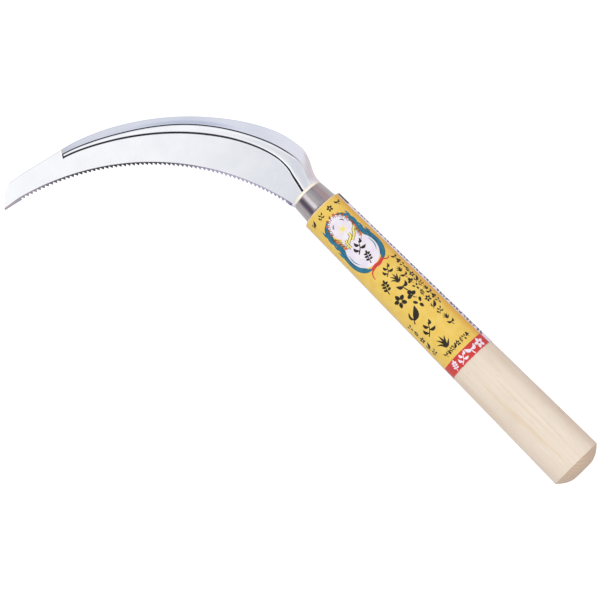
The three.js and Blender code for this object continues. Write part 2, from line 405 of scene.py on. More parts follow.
def shared_effect(name: str, takes: Sockets, gives: Sockets, fill: Fill) -> bpy.types.NodeTree:
    """A node group that several materials use, built the first time it is asked for.

    Args:
        name: the group's name.
        takes: its inputs.
        gives: its outputs.
        fill: adds the nodes between them, and returns the socket for each output.

    Returns:
        The group.
    """
    found = bpy.data.node_groups.get(name)
    if found:
        return found
    tree = bpy.data.node_groups.new(name, "ShaderNodeTree")
    for label, kind in takes.items():
        tree.interface.new_socket(name=label, in_out="INPUT", socket_type=kind.value)
    for label, kind in gives.items():
        tree.interface.new_socket(name=label, in_out="OUTPUT", socket_type=kind.value)
    graph = Graph(tree)
    entry = graph.add("NodeGroupInput")
    exit_node = graph.add("NodeGroupOutput")
    for label, socket in fill(graph, entry).items():
        graph.feed(exit_node.inputs[label], socket)
    return tree


def soft_mottle() -> bpy.types.NodeTree:
    """Two colours that drift into each other in soft clouds."""
    def fill(graph: Graph, entry: bpy.types.Node) -> dict[str, bpy.types.NodeSocket]:
        """Large clouds with a finer grain inside them."""
        inputs = {0: entry.outputs["Place"], "Scale": entry.outputs["Scale"]}
        place = graph.add("ShaderNodeVectorMath", inputs, operation="SCALE").outputs[0]
        mask = graph.remap(graph.noise(place, 1.0, 5.0), (0.3, 0.7))
        return {"Colour": graph.blend(mask, entry.outputs["First"], entry.outputs["Second"]), "Mask": mask}

    takes = {"Place": Kind.VECTOR, "Scale": Kind.NUMBER, "First": Kind.COLOUR, "Second": Kind.COLOUR}
    return shared_effect("soft_mottle", takes, {"Colour": Kind.COLOUR, "Mask": Kind.NUMBER}, fill)


def fine_scratches() -> bpy.types.NodeTree:
    """Sparse hairline marks that run mostly one way."""
    def fill(graph: Graph, entry: bpy.types.Node) -> dict[str, bpy.types.NodeSocket]:
        """Thin contour lines of a stretched noise, kept only in patches."""
        place = entry.outputs["Place"]
        lines = graph.noise(graph.stretch(place, (0.06, 0.9, 0.9)), 1.0, 3.0)
        off = graph.math("ABSOLUTE", graph.math("SUBTRACT", lines, 0.5))
        thin = graph.remap(off, (0.0, 0.006), (1.0, 0.0))
        patches = graph.remap(graph.noise(place, 0.11, 2.0), (0.5, 0.68))
        mask = graph.math("MULTIPLY", graph.math("MULTIPLY", thin, patches), entry.outputs["Strength"])
        return {"Mask": mask, "Height": graph.math("MULTIPLY", mask, -1.0)}

    takes = {"Place": Kind.VECTOR, "Strength": Kind.NUMBER}
    return shared_effect("fine_scratches", takes, {"Mask": Kind.NUMBER, "Height": Kind.NUMBER}, fill)


def edge_rub() -> bpy.types.NodeTree:
    """Where handling has rubbed a rim, broken up so that it is not an even line."""
    def fill(graph: Graph, entry: bpy.types.Node) -> dict[str, bpy.types.NodeSocket]:
        """The rim's mask thinned out by a noise."""
        speckle = graph.remap(graph.noise(entry.outputs["Place"], 0.8, 4.0), (0.38, 0.62))
        return {"Mask": graph.math("MULTIPLY", speckle, entry.outputs["Rim"])}

    takes = {"Place": Kind.VECTOR, "Rim": Kind.NUMBER}
    return shared_effect("edge_rub", takes, {"Mask": Kind.NUMBER}, fill)


def paper_fibre() -> bpy.types.NodeTree:
    """The felted surface of printed paper."""
    def fill(graph: Graph, entry: bpy.types.Node) -> dict[str, bpy.types.NodeSocket]:
        """Short fibres over a fine tooth."""
        place = entry.outputs["Place"]
        fibres = graph.noise(graph.stretch(place, (0.9, 4.5, 1.0)), 1.0, 4.0)
        tooth = graph.noise(place, 6.0, 3.0)
        height = graph.math("ADD", graph.math("MULTIPLY", fibres, 0.6), graph.math("MULTIPLY", tooth, 0.4))
        return {"Height": height, "Mask": graph.remap(height, (0.35, 0.65))}

    gives = {"Height": Kind.NUMBER, "Mask": Kind.NUMBER}
    return shared_effect("paper_fibre", {"Place": Kind.VECTOR}, gives, fill)


# ---- Finishes ----

def new_material(name: str) -> tuple[bpy.types.Material, Graph, bpy.types.Node]:
    """A material with only its Principled shader and its output in it.

    Args:
        name: the material's name.

    Returns:
        The material, its graph and its Principled shader.
    """
    material = bpy.data.materials.new(name)
    material.use_nodes = True
    graph = Graph(material.node_tree)
    shader = graph.add("ShaderNodeBsdfPrincipled")
    output = graph.add("ShaderNodeOutputMaterial")
    graph.feed(output.inputs["Surface"], shader.outputs[0])
    return material, graph, shader


@dataclass(frozen=True)
class SteelFinish:
    """Polished sheet or drawn steel, with brushing, hairlines and painted shade in its creases."""

    name: str
    bright: Colour
    cloud: Colour
    ground: Colour
    # the colour painted into creases and steps as shade, with its metal and roughness below
    painted_shade: Colour
    roughness: Pair
    brushing: Place
    brush_height: float
    scratches: float
    cloud_scale: float = 0.06
    brush_range: Pair = (0.3, 0.7)
    rub_share: float = 0.5
    painted_shade_metal: float = 0.1
    scratch_roughness: float = 0.25
    ground_roughness: float = 0.06
    painted_shade_roughness: float = 0.35
    bump_strength: float = 0.12
    bump_depth: float = 0.00004

    def material(self) -> bpy.types.Material:
        """Builds the material; it reads the mesh's tool_place, ground, painted-shade and rim values; the
        painted shade darkens creases and steps.
        """
        material, graph, shader = new_material(self.name)
        place = graph.attribute("tool_place", "Vector")
        painted_shade = graph.attribute("painted_shade")
        ground = graph.attribute("ground")
        rub = graph.effect(edge_rub(), {"Place": place, "Rim": graph.attribute("rim")}).outputs["Mask"]
        clouds = {"Place": place, "Scale": self.cloud_scale, "First": self.bright, "Second": self.cloud}
        mottle = graph.effect(soft_mottle(), clouds)
        brush = graph.noise(graph.stretch(place, self.brushing), 1.0, 3.0)
        scratches = graph.effect(fine_scratches(), {"Place": place, "Strength": self.scratches})
        rubbed = graph.math("MULTIPLY", rub, self.rub_share)
        colour = graph.blend(rubbed, mottle.outputs["Colour"], self.bright)
        colour = graph.blend(ground, colour, self.ground)
        # painted shade: creases and steps are darkened where shade and dark reflections fall
        colour = graph.blend(painted_shade, colour, self.painted_shade)
        graph.feed(shader.inputs["Base Color"], colour)
        graph.feed(shader.inputs["Metallic"], graph.remap(painted_shade, (0.0, 1.0), (1.0, self.painted_shade_metal)))
        rough = graph.remap(brush, self.brush_range, self.roughness)
        masks = (scratches.outputs["Mask"], ground, painted_shade)
        amounts = (self.scratch_roughness, self.ground_roughness, self.painted_shade_roughness)
        for mask, amount in zip(masks, amounts):
            rough = graph.math("ADD", rough, graph.math("MULTIPLY", mask, amount))
        graph.feed(shader.inputs["Roughness"], rough)
        brushed = graph.math("MULTIPLY", brush, self.brush_height)
        height = graph.math("ADD", brushed, scratches.outputs["Height"])
        graph.bump(shader, height, self.bump_strength, self.bump_depth)
        return material


@dataclass(frozen=True)
class WoodFinish:
    """Sanded, unvarnished, straight-grained pale wood, whose grain runs along the handle."""

    name: str
    early: Colour
    late: Colour
    streak: Colour
    end_grain: Colour
    # painted light: the nose end is lightened towards a pale cream, from the given x forwards
    nose_light: Colour
    nose_light_from: Pair = (-1.5, 0.4)
    pith: Place = (0.0, 23.0, -34.0)
    ring_spacing: float = 2.1
    ring_wander: float = 2.2
    ring_draw: Place = (0.02, 1.0, 1.0)
    fibre_draw: Place = (0.05, 1.6, 1.6)
    pore_draw: Place = (0.16, 3.6, 3.6)
    streak_draw: Place = (0.012, 0.32, 0.32)
    fleck_draw: Place = (0.09, 0.5, 0.5)
    cloud_draw: Place = (0.25, 1.0, 1.0)
    cloud_scale: float = 0.09
    ring_share: float = 0.55
    fibre_share: float = 0.35
    streak_share: float = 0.55
    fleck_share: float = 0.35
    roughness: Pair = (0.52, 0.66)
    bump_strength: float = 0.35
    bump_depth: float = 0.00008

    def rings(self, graph: Graph, place: bpy.types.NodeSocket) -> bpy.types.NodeSocket:
        """Growth rings about a pith outside the handle, so that they show as lines along it."""
        shifted = graph.add("ShaderNodeVectorMath", {0: place, 1: self.pith}, operation="ADD").outputs[0]
        inputs = {"Vector": graph.stretch(shifted, self.ring_draw), "Scale": math.pi / 10 / self.ring_spacing}
        inputs |= {"Distortion": self.ring_wander, "Detail": 3.0, "Detail Scale": 0.35}
        wave = graph.add("ShaderNodeTexWave", inputs, wave_type="RINGS", rings_direction="X",
                         wave_profile="SAW")
        return wave.outputs["Fac"]

    def spots(self, graph: Graph, place: bpy.types.NodeSocket, draw: Place, detail: float,
              shown: Pair) -> bpy.types.NodeSocket:
        """The highest parts of a noise that is drawn out along the grain.

        Args:
            graph: the material's graph.
            place: the place on the tool.
            draw: how much the place is scaled along each axis.
            detail: the noise's detail.
            shown: where in the noise the spots begin and are full.

        Returns:
            The spots' mask.
        """
        return graph.remap(graph.noise(graph.stretch(place, draw), 1.0, detail), shown)

    def material(self) -> bpy.types.Material:
        """Builds the material; it reads the mesh's tool_place and end values."""
        material, graph, shader = new_material(self.name)
        place = graph.attribute("tool_place", "Vector")
        rings = self.rings(graph, place)
        fibres = graph.noise(graph.stretch(place, self.fibre_draw), 1.0, 4.0)
        pores = self.spots(graph, place, self.pore_draw, 2.0, (0.62, 0.72))
        streaks = self.spots(graph, place, self.streak_draw, 2.0, (0.55, 0.72))
        flecks = self.spots(graph, place, self.fleck_draw, 1.0, (0.70, 0.78))
        clouds = {"Place": graph.stretch(place, self.cloud_draw), "Scale": self.cloud_scale}
        mottle = graph.effect(soft_mottle(), {**clouds, "First": self.early, "Second": self.late})
        late = graph.math("ADD", graph.math("MULTIPLY", graph.remap(rings, (0.45, 1.0)), self.ring_share),
                          graph.math("MULTIPLY", graph.remap(fibres, (0.4, 0.7)), self.fibre_share))
        marked = graph.math("MULTIPLY", graph.math("MAXIMUM", pores, flecks), self.fleck_share)
        along_grip = graph.add("ShaderNodeSeparateXYZ", {0: place}).outputs["X"]
        end = graph.math("MULTIPLY", graph.attribute("end"), graph.remap(rings, (0.0, 1.0), (0.75, 1.0)))
        colour = mottle.outputs["Colour"]
        # the layers include painted light: the nose is lightened towards pale cream
        layers = ((late, self.late), (graph.math("MULTIPLY", streaks, self.streak_share), self.streak),
                  (marked, self.end_grain), (graph.remap(along_grip, self.nose_light_from), self.nose_light),
                  (end, self.end_grain))
        for share, shade in layers:
            colour = graph.blend(share, colour, shade)
        graph.feed(shader.inputs["Base Color"], colour)
        graph.feed(shader.inputs["Roughness"], graph.remap(fibres, (0.3, 0.7), self.roughness))
        height = graph.math("SUBTRACT", graph.math("MULTIPLY", fibres, 0.6), pores)
        graph.bump(shader, height, self.bump_strength, self.bump_depth)
        return material


@dataclass(frozen=True)
class InkFinish:
    """One printed colour on semi-gloss paper, or the bare paper itself."""

    name: str
    body: Colour
    drift: Colour
    worn: Colour
    side: Colour | None = None
    side_from: Pair = (8.0, 14.5)
    cloud_scale: float = 0.22
    fibre_share: float = 0.05
    roughness: Pair = (0.38, 0.5)
    sheen: float = 0.35
    bump_strength: float = 0.18
    bump_depth: float = 0.00004

    def material(self) -> bpy.types.Material:
        """Builds the material; the mesh's tool_place holds the place on the flat sheet."""
        material, graph, shader = new_material(self.name)
        place = graph.attribute("tool_place", "Vector")
        fibre = graph.effect(paper_fibre(), {"Place": place})
        clouds = {"Place": place, "Scale": self.cloud_scale, "First": self.body, "Second": self.drift}
        colour = graph.effect(soft_mottle(), clouds).outputs["Colour"]
        if self.side:
            across = graph.add("ShaderNodeSeparateXYZ", {0: place}).outputs["Y"]
            colour = graph.blend(graph.remap(across, self.side_from), colour, self.side)
        rub = graph.effect(edge_rub(), {"Place": place, "Rim": graph.attribute("rim")}).outputs["Mask"]
        felted = graph.math("MULTIPLY", fibre.outputs["Mask"], self.fibre_share)
        colour = graph.blend(felted, colour, self.worn)
        graph.feed(shader.inputs["Base Color"], graph.blend(rub, colour, self.worn))
        graph.feed(shader.inputs["Roughness"], graph.remap(fibre.outputs["Mask"], (0.0, 1.0), self.roughness))
        shader.inputs["Specular IOR Level"].default_value = self.sheen
        graph.bump(shader, fibre.outputs["Height"], self.bump_strength, self.bump_depth)
        return material


BLADE_STEEL = SteelFinish(
    "blade_steel", bright=display(247, 248, 251), cloud=display(240, 242, 246),
    ground=display(205, 202, 214), painted_shade=display(20, 23, 40), roughness=(0.10, 0.17),
    brushing=(0.25, 3.0, 1.0), brush_height=0.5, scratches=0.35,
)
FERRULE_STEEL = SteelFinish(
    "ferrule_steel", bright=display(178, 172, 174), cloud=display(166, 159, 162),
    ground=display(120, 116, 118), painted_shade=display(40, 34, 36), roughness=(0.12, 0.2),
    brushing=(3.0, 0.3, 0.3), brush_height=0.4, scratches=0.6,
)
PIN_STEEL = SteelFinish(
    "pin_steel", bright=display(188, 184, 182), cloud=display(165, 160, 158),
    ground=display(120, 116, 118), painted_shade=display(40, 34, 36), roughness=(0.25, 0.38),
    brushing=(1.5, 1.5, 1.5), brush_height=1.0, scratches=0.8,
)
PALE_WOOD = WoodFinish(
    "pale_wood", early=display(232, 224, 206), late=display(224, 211, 191),
    streak=display(220, 203, 170), end_grain=display(199, 178, 152), nose_light=display(252, 246, 226),
)
YELLOWED = display(240, 232, 205)
GREYED = display(222, 214, 196)


class Ink(Enum):
    """The printed colours, in the order of the sheet's material slots."""

    BARE = InkFinish("bare_paper", display(236, 234, 240), display(226, 222, 234), GREYED)
    YELLOW = InkFinish("yellow_ink", display(233, 203, 98), display(228, 194, 84), YELLOWED,
                       side=display(224, 172, 60))
    BORDER = InkFinish("border_ink", display(222, 160, 78), display(214, 150, 70), YELLOWED)
    TEAL = InkFinish("teal_ink", display(16, 120, 152), display(12, 104, 134), display(200, 214, 218))
    RED = InkFinish("red_ink", display(206, 50, 46), display(196, 42, 42), display(240, 214, 205))
    BLACK = InkFinish("black_ink", display(14, 12, 8), display(24, 21, 14), display(190, 176, 130))
    BROWN = InkFinish("brown_ink", display(150, 92, 52), display(128, 76, 44), display(230, 214, 190))
    ORANGE = InkFinish("orange_ink", display(216, 104, 52), display(200, 88, 46), display(240, 220, 200))
    PALE = InkFinish("pale_yellow_ink", display(241, 231, 132), display(236, 222, 118),
                     display(240, 236, 215))
    OLIVE = InkFinish("olive_ink", display(58, 56, 42), display(44, 43, 34), display(190, 186, 170))
    BLUE = InkFinish("blue_black_ink", display(62, 60, 104), display(48, 50, 84), display(205, 205, 220))
    BACK = InkFinish("unprinted_paper", display(228, 224, 214), display(220, 214, 202), GREYED)


# ---- Blade ----

@dataclass(frozen=True)
class Station:
    """One line across the blade: how the sheet's rows lie on it."""

    share: float
    width: float
    rise: float
    setback: float
    edge_rise: float
    neck: float
    point_at: Callable[[float], Pair]


@dataclass(frozen=True)
class Row:
    """One point of the closed line round the sheet: its place, its painted shade and its ground finish."""

    across: float
    height: float
    painted_shade: float = 0.0
    ground: float = 0.0


@dataclass
class Blade:
    """The toothed blade with its pressed rib, its neck, and the tang that goes into the handle."""

    thickness: float = 1.2
    edge_radius: float = 146.1
    edge_start: float = math.radians(-77.6)
    edge_sweep: float = math.radians(66.0)
    heel: Pair = (3.3, 11.0)
    neck_x: float = 0.3
    neck_inner: float = 10.1
    neck_outer: float = 10.0
    neck_lead: float = 4.2
    neck_run: float = 7.0
    bevel: float = 1.58
    tip_bevel: float = 0.55
    edge_thickness: float = 0.25
    point_lag: float = 0.046
    point_lag_from: float = 0.86
    tooth_pitch: float = 2.5
    tooth_depth: float = 1.25
    tooth_peak: float = 0.2
    plain_heel: float = 1.5
    plain_point: float = 7.5
    tip_reach: float = 0.011
    rib_rise: float = 1.8
    rib_end_rise: float = 0.9
    rib_end: float = 0.765
    rib_end_length: float = 0.007
    rib_step: float = 0.95
    neck_step: float = 0.75
    rib_crown: float = 0.05
    strip_tilt: float = -0.07
    notch_depth: float = 0.14
    notch_width: float = 0.3
    back_drop: float = 0.88
    band_slope: float = 1.45
    neck_arch: float = 0.22
    neck_blend: float = 0.85
    back_round: float = 0.45
    tang_length: float = 66.0
    tang_front: float = 5.6
    tang_end: float = 3.8
    rib_fade: float = 13.0
    widths: Sequence[Pair] = ((0, 23.4), (0.032, 28.4), (0.06, 31.0), (0.15, 32.9), (0.345, 29.6),
                              (0.59, 23.4), (0.72, 19.2), (0.824, 14.9), (0.954, 12.0))
    rib_side: Sequence[Pair] = ((0, 0.476), (0.036, 0.495), (0.071, 0.563), (0.112, 0.606), (0.27, 0.658),
                                (0.62, 0.671), (0.765, 0.714))
    rib_crease: Sequence[Pair] = ((0, 0.79), (0.13, 0.772), (0.38, 0.826), (0.62, 0.788), (0.765, 0.816))
    bevel_shares: Sequence[float] = (0.0, 0.35, 0.7, 0.94)
    step_shares: Sequence[float] = (0, 0.06, 0.14, 0.25, 0.38, 0.5, 0.62, 0.75, 0.86, 0.94, 1)
    seam_offsets: Sequence[float] = (-0.48, -0.4, -0.3, 0.0, 0.3, 0.4, 0.48)
    seam_edge: float = 0.46
    seam_blur: float = 0.16
    # strengths of painted shade along the bevel's foot and over the rib's end cap
    edge_line: float = 0.7
    edge_line_from: Pair = (0.4, 0.55)
    cap_painted_shade: float = 0.9
    round_turns: Sequence[float] = (0, 22, 45, 67, 90)
    tooth_steps: Sequence[float] = (0.0, 0.08, 0.15, 0.2, 0.28, 0.45, 0.65, 0.85, 0.96)

    @property
    def edge_length(self) -> float:
        """The toothed edge from heel to point."""
        return self.edge_radius * self.edge_sweep

    @property
    def tooth_count(self) -> int:
        """How many whole teeth fit between the plain ends."""
        return math.floor((self.edge_length - self.plain_heel - self.plain_point) / self.tooth_pitch)

    def plan_point(self, share: float, across: float) -> Pair:
        """A point of the blade in plan.

        Args:
            share: how far along the toothed edge, from heel to point.
            across: how far across the blade, 0 at the edge and 1 at the back.

        Returns:
            Its x and y.
        """
        lag = self.point_lag * smoothstep(share, self.point_lag_from, 1.0) * across * across
        reach = self.tip_reach * smoothstep(share, 0.96, 1.0) * (1 - smoothstep(across, 0.0, 0.35))
        angle = self.edge_start + self.edge_sweep * (share - lag + reach)
        radius = self.edge_radius + across * along(self.widths, share - lag)
        centre_x = self.heel[0] - self.edge_radius * math.cos(self.edge_start)
        centre_y = self.heel[1] - self.edge_radius * math.sin(self.edge_start)
        return centre_x + radius * math.cos(angle), centre_y + radius * math.sin(angle)

    def rise_at(self, share: float) -> float:
        """How high the rib stands at a share of the edge."""
        steady = lerp(self.rib_rise, self.rib_end_rise, smoothstep(share, 0.3, self.rib_end))
        return steady * (1 - smoothstep(share, self.rib_end, self.rib_end + self.rib_end_length))

    def tooth_cut(self, distance: float) -> float:
        """How deep the edge is cut at a distance from the heel, 0 at a tooth's tip and 1 in a gullet."""
        local = (distance - self.plain_heel) / self.tooth_pitch
        if local <= 0 or local >= self.tooth_count:
            return 0.0
        part = local % 1.0
        slope = part / self.tooth_peak if part < self.tooth_peak else (1 - part) / (1 - self.tooth_peak)
        return 1 - min(max(slope * 1.12 - 0.03, 0.0), 1.0)

    def edge_distances(self) -> list[float]:
        """Where the lines across the toothed part stand, from heel to point."""
        stops = [0.0, 0.5 * self.plain_heel]
        for tooth in range(self.tooth_count):
            stops += [self.plain_heel + (tooth + step) * self.tooth_pitch for step in self.tooth_steps]
        plain = self.plain_heel + self.tooth_count * self.tooth_pitch
        stops += [lerp(plain, self.edge_length, step / 14) for step in range(15)]
        end = self.rib_end * self.edge_length
        length = self.rib_end_length * self.edge_length
        stops += [end + length * part for part in (-0.15, 0.0, 0.2, 0.4, 0.6, 0.8, 1.0, 1.15)]
        return sorted(set(round(stop, 4) for stop in stops))

    def stations(self) -> Iterator[Station]:
        """The lines across the blade, from its point to the end of its tang."""
        for distance in reversed(self.edge_distances()):
            share = distance / self.edge_length
            cut_depth = self.tooth_cut(distance)
            yield Station(share, along(self.widths, share), self.rise_at(share), self.tooth_depth * cut_depth,
                          self.edge_thickness, 1 - smoothstep(share, 0.015, 0.1),
                          lambda across, at=share: self.plan_point(at, across))
        yield from self.neck_stations()
        yield from self.tang_stations()

    def neck_stations(self, steps: int = 10) -> Iterator[Station]:
        """The lines across the neck, where the edge thickens to the whole sheet."""
        for step in range(1, steps + 1):
            part = step / steps
            inner, outer = (Vector(side) for side in self.neck_sides(part))
            edge = lerp(self.edge_thickness, self.thickness - 0.05, smoothstep(part, 0, 0.7))
            yield Station(0.0, (outer - inner).length, self.rib_rise, 0.0, edge, 1.0,
                          lambda across, start=inner, end=outer: tuple(start.lerp(end, across)))

    def neck_sides(self, part: float) -> tuple[Pair, Pair]:
        """The neck's two outlines, where part runs from the heel to the shoulders."""
        back_start = self.plan_point(0, 1)
        back_next = self.plan_point(0.01, 1)
        lead = [(start - after) * self.neck_lead for start, after in zip(back_start, back_next)]
        outer = (hermite((back_start[0], self.neck_x), (lead[0], -self.neck_run), part),
                 hermite((back_start[1], -self.neck_outer), (lead[1], 0.0), part))
        inner = (lerp(self.heel[0], self.neck_x, part), lerp(self.heel[1], self.neck_inner, part))
        return inner, outer

    def tang_stations(self) -> Iterator[Station]:
        """The lines across the tang, whose rows keep the neck's heights."""
        full = self.neck_inner + self.neck_outer
        for x in (self.neck_x - 0.03, 0.0, -2.5, -5, -7.5, -10, -12, -20, -35, -50, -self.tang_length):
            share = (self.neck_x - x) / (self.neck_x + self.tang_length)
            half = lerp(self.tang_front, self.tang_end, share)
            rise = self.rib_rise * (1 - smoothstep(self.neck_x - x, 0, self.rib_fade))
            yield Station(0.0, full, rise, 0.0, self.thickness - 0.05, 1.0,
                          lambda across, at=x, size=half: (at, size * (1 - 2 * across)))

    def rows(self, station: Station) -> list[Row]:
        """The closed line round the sheet at a station.

        Args:
            station: the line across the blade.

        Returns:
            The rows, from the edge over the top to the back and underneath to the edge again.
        """
        rib = RibSection.of(self, station)
        bevel = self.bevel * lerp(1.0, self.tip_bevel, smoothstep(station.share, 0.945, 1.0))
        rows = self.edge_rows(station, bevel, rib.foot)
        rows += self.rib_rows(station, rib)
        rows += self.back_rows(station, rib)
        half = self.thickness / 2
        under = [lerp(station.width, rib.crease, 0.5), rib.crease, lerp(rib.crease, rib.brow, 0.5), rib.brow]
        under += [lerp(rib.brow, rib.foot, part) for part in (0.25, 0.5, 0.75)]
        under += [rib.foot, lerp(rib.foot, bevel, 0.5), bevel]
        rows += [Row(across, rib.height(across) - half) for across in under]
        rows.append(Row(station.setback, -half))
        return rows

    def edge_rows(self, station: Station, bevel: float, foot: float) -> list[Row]:
        """The ground bevel and the flat, from the edge to the rib's foot.

        Args:
            station: the line across the blade.
            bevel: how far the bevel reaches.
            foot: where the rib starts.

        Returns:
            The rows on the top face.
        """
        half = self.thickness / 2
        edge, edge_top = station.setback, station.edge_rise - half
        flat = bevel + 0.2
        # painted shade: a dark line along the foot of the ground bevel
        line = self.edge_line * smoothstep(station.share, *self.edge_line_from)
        ground = [lerp(edge, bevel, part) for part in self.bevel_shares]
        rows = [Row(across, lerp(edge_top, half, across / bevel), 0.0, 1.0) for across in ground]
        rows += [Row(bevel + 0.03, half, line, 0.8), Row(flat, half)]
        rows += [Row(lerp(flat, foot - 0.25, part), half) for part in (0.25, 0.5, 0.75, 1.0)]
        return rows

    def rib_rows(self, station: Station, rib: "RibSection") -> list[Row]:
        """The rib's steep side, its strip and its crease, with painted shade in them.

        Args:
            station: the line across the blade.
            rib: the rib's section there.

        Returns:
            The rows on the top face.
        """
        half = self.thickness / 2
        live = smoothstep(station.rise, 0.05, 0.5)
        seam = live * (1 - 0.92 * station.neck)
        dark = 1 if station.rise > 0.02 else 0
        # painted shade over the end cap where the rib dies out
        ending = station.share > self.rib_end and 0.02 < station.rise < 0.97 * self.rib_end_rise
        cap = self.cap_painted_shade if ending else 0.0
        rows = []
        # painted shade down the rib's steep side, and along the crease below
        for part in self.step_shares:
            across = lerp(rib.foot, rib.brow, part)
            mark = dark * smoothstep(part, 0.0, 0.14) * (1 - smoothstep(part, 0.86, 1.0))
            rows.append(Row(across, half + rib.height(across), max(mark, cap)))
        for part in (0.125, 0.375, 0.625, 0.875):
            across = lerp(rib.brow, rib.crease - 0.6, part)
            rows.append(Row(across, half + rib.height(across), cap))
        for offset in self.seam_offsets:
            across = rib.crease + offset
            mark = seam * smoothstep(self.seam_edge - abs(offset), 0.0, self.seam_blur)
            sunk = self.notch_depth * seam * math.exp(-(offset / self.notch_width) ** 2)
            rows.append(Row(across, half + rib.height(across) - sunk, max(mark, cap if offset <= 0 else 0.0)))
        return rows

    def back_rows(self, station: Station, rib: "RibSection") -> list[Row]:
        """The band behind the crease and the rounded back.

        Args:
            station: the line across the blade.
            rib: the rib's section there.

        Returns:
            The rows, down to the underside.
        """
        half, width = self.thickness / 2, station.width
        band = (rib.crease + self.seam_offsets[-1], width - self.back_round)
        rows = []
        for part in (0.2, 0.4, 0.6, 0.8):
            across = lerp(*band, part)
            rows.append(Row(across, half + rib.height(across)))
        back = rib.height(width)
        for degrees in self.round_turns:
            turn = math.radians(degrees)
            across = width - self.back_round * (1 - math.sin(turn))
            rows.append(Row(across, back + half - self.back_round * (1 - math.cos(turn))))
        return rows + [Row(width, back - half + 0.15), Row(width - 0.15, back - half)]

    def draft(self) -> Draft:
        """The whole sheet as a grid of lines and rows, closed at the point and at the tang's end."""
        draft = Draft(masks={"painted_shade": [], "ground": []})
        travel = 0.0
        before: Pair | None = None
        count = 0
        for station in self.stations():
            spine = station.point_at(0.5)
            travel += math.dist(before, spine) if before else 0.0
            before = spine
            rows = self.rows(station)
            count = len(rows)
            for row in rows:
                x, y = station.point_at(row.across / station.width)
                draft.points.append((x, y, row.height))
                draft.masks["painted_shade"].append(row.painted_shade)
                draft.masks["ground"].append(row.ground)
                draft.places.append((row.across, travel, row.height))
        lines = len(draft.points) // count
        for line in range(lines - 1):
            for row in range(count):
                after = (row + 1) % count
                draft.faces.append((line * count + row, line * count + after,
                                    (line + 1) * count + after, (line + 1) * count + row))
        draft.faces.append(tuple(range(count)))
        draft.faces.append(tuple(range((lines - 1) * count, lines * count)))
        return draft

    def build(self, tool: ToolFrame) -> bpy.types.Object:
        """Builds and dresses the blade."""
        mesh = self.draft().mesh("toothed_blade")
        smooth(mesh, 24.0)
        obj = tool.place(mesh, "toothed_blade")
        mesh.materials.append(BLADE_STEEL.material())
        return declare(obj, "blade")


@dataclass(frozen=True)
class RibSection:
    """Where the pressed rib's bends lie across the blade at a station, and how high it stands."""

    blade: Blade
    station: Station
    foot: float
    brow: float
    crease: float

    @classmethod
    def of(cls, blade: Blade, station: Station) -> "RibSection":
        """Works out the bends from the blade's sizes.

        Args:
            blade: the blade.
            station: the line across it.

        Returns:
            The rib's section at that line.
        """
        middle = along(blade.rib_side, station.share) * station.width
        step = blade.rib_step * (1 + blade.neck_step * station.neck)
        crease = along(blade.rib_crease, station.share) * station.width
        return cls(blade, station, middle - step / 2, middle + step / 2, crease)

    def height(self, across: float) -> float:
        """How high the middle of the sheet stands over the flat.

        Args:
            across: the distance from the edge's curve.

        Returns:
            The height.
        """
        if across <= self.brow:
            return self.station.rise * smoothstep(across, self.foot, self.brow)
        blade, width = self.blade, self.station.width
        arch = (across - self.brow) / (width - self.brow)
        arched = 1 + blade.neck_arch * arch * (1 - arch) - blade.back_drop * arch * arch
        if across <= self.crease:
            strip = (across - self.brow) / (self.crease - self.brow)
            folded = 1 + 4 * blade.rib_crown * strip * (1 - strip) + blade.strip_tilt * strip
        else:
            band = (across - self.crease) / (width - self.crease)
            fall = blade.band_slope * band - (blade.band_slope - 1) * band * band
            folded = (1 + blade.strip_tilt) * (1 - blade.back_drop * fall)
        return self.station.rise * lerp(folded, arched, self.station.neck * blade.neck_blend)


# ---- Handle, ferrule and pin ----

@dataclass
class Ferrule:
    """The tapered steel tube round the end of the handle, with rolled rims."""

    length: float = 11.2
    mouth_radius: float = 10.0
    base_radius: float = 10.8
    wall: float = 0.5
    rim: float = 0.32
    sides: int = 144
    pin_hole: float = 1.4
    pin_setback: float = 6.0

    def radius_at(self, x: float) -> float:
        """The outer radius at x."""
        return lerp(self.mouth_radius, self.base_radius, -x / self.length)

    def rounded(self, x: float, radius: float, inward: float) -> list[Pair]:
        """A quarter round at one outer corner of the wall.

        Args:
            x: the corner's place along the axis.
            radius: the corner's radius.
            inward: +1 if the wall lies at greater x, -1 if at less.

        Returns:
            The points from the end face to the side.
        """
        points = []
        for step in range(5):
            turn = math.radians(22.5 * step)
            corner = (x + inward * self.rim * (1 - math.cos(turn)), radius - self.rim * (1 - math.sin(turn)))
            points.append(corner)
        return points

    def draft(self) -> Draft:
        """The tube, with both rims rounded."""
        front = self.rounded(0, self.mouth_radius, -1)
        middle = [(x, self.radius_at(x)) for x in (-share * self.length for share in (0.2, 0.4, 0.6, 0.8))]
        back = self.rounded(-self.length, self.base_radius, 1)[::-1]
        inside = [(-self.length, self.base_radius - self.wall), (0, self.mouth_radius - self.wall)]
        return lathe([*front, *middle, *back, *inside], self.sides, closed=True)

    def build(self, tool: ToolFrame) -> bpy.types.Object:
        """Builds and dresses the ferrule."""
        bore = pin_bore(self.pin_hole, self.pin_setback, 0.0)
        mesh = cut(self.draft().mesh("steel_ferrule"), [bore])
        x = mesh_points(mesh)[:, 0]
        to_end = np.minimum(np.abs(x), np.abs(x + self.length))
        store_mask(mesh, "rim", np.clip(1 - to_end / (1.6 * self.rim), 0, 1))
        smooth(mesh, 35.0)
        obj = tool.place(mesh, "steel_ferrule")
        mesh.materials.append(FERRULE_STEEL.material())
        return declare(obj, "ferrule")


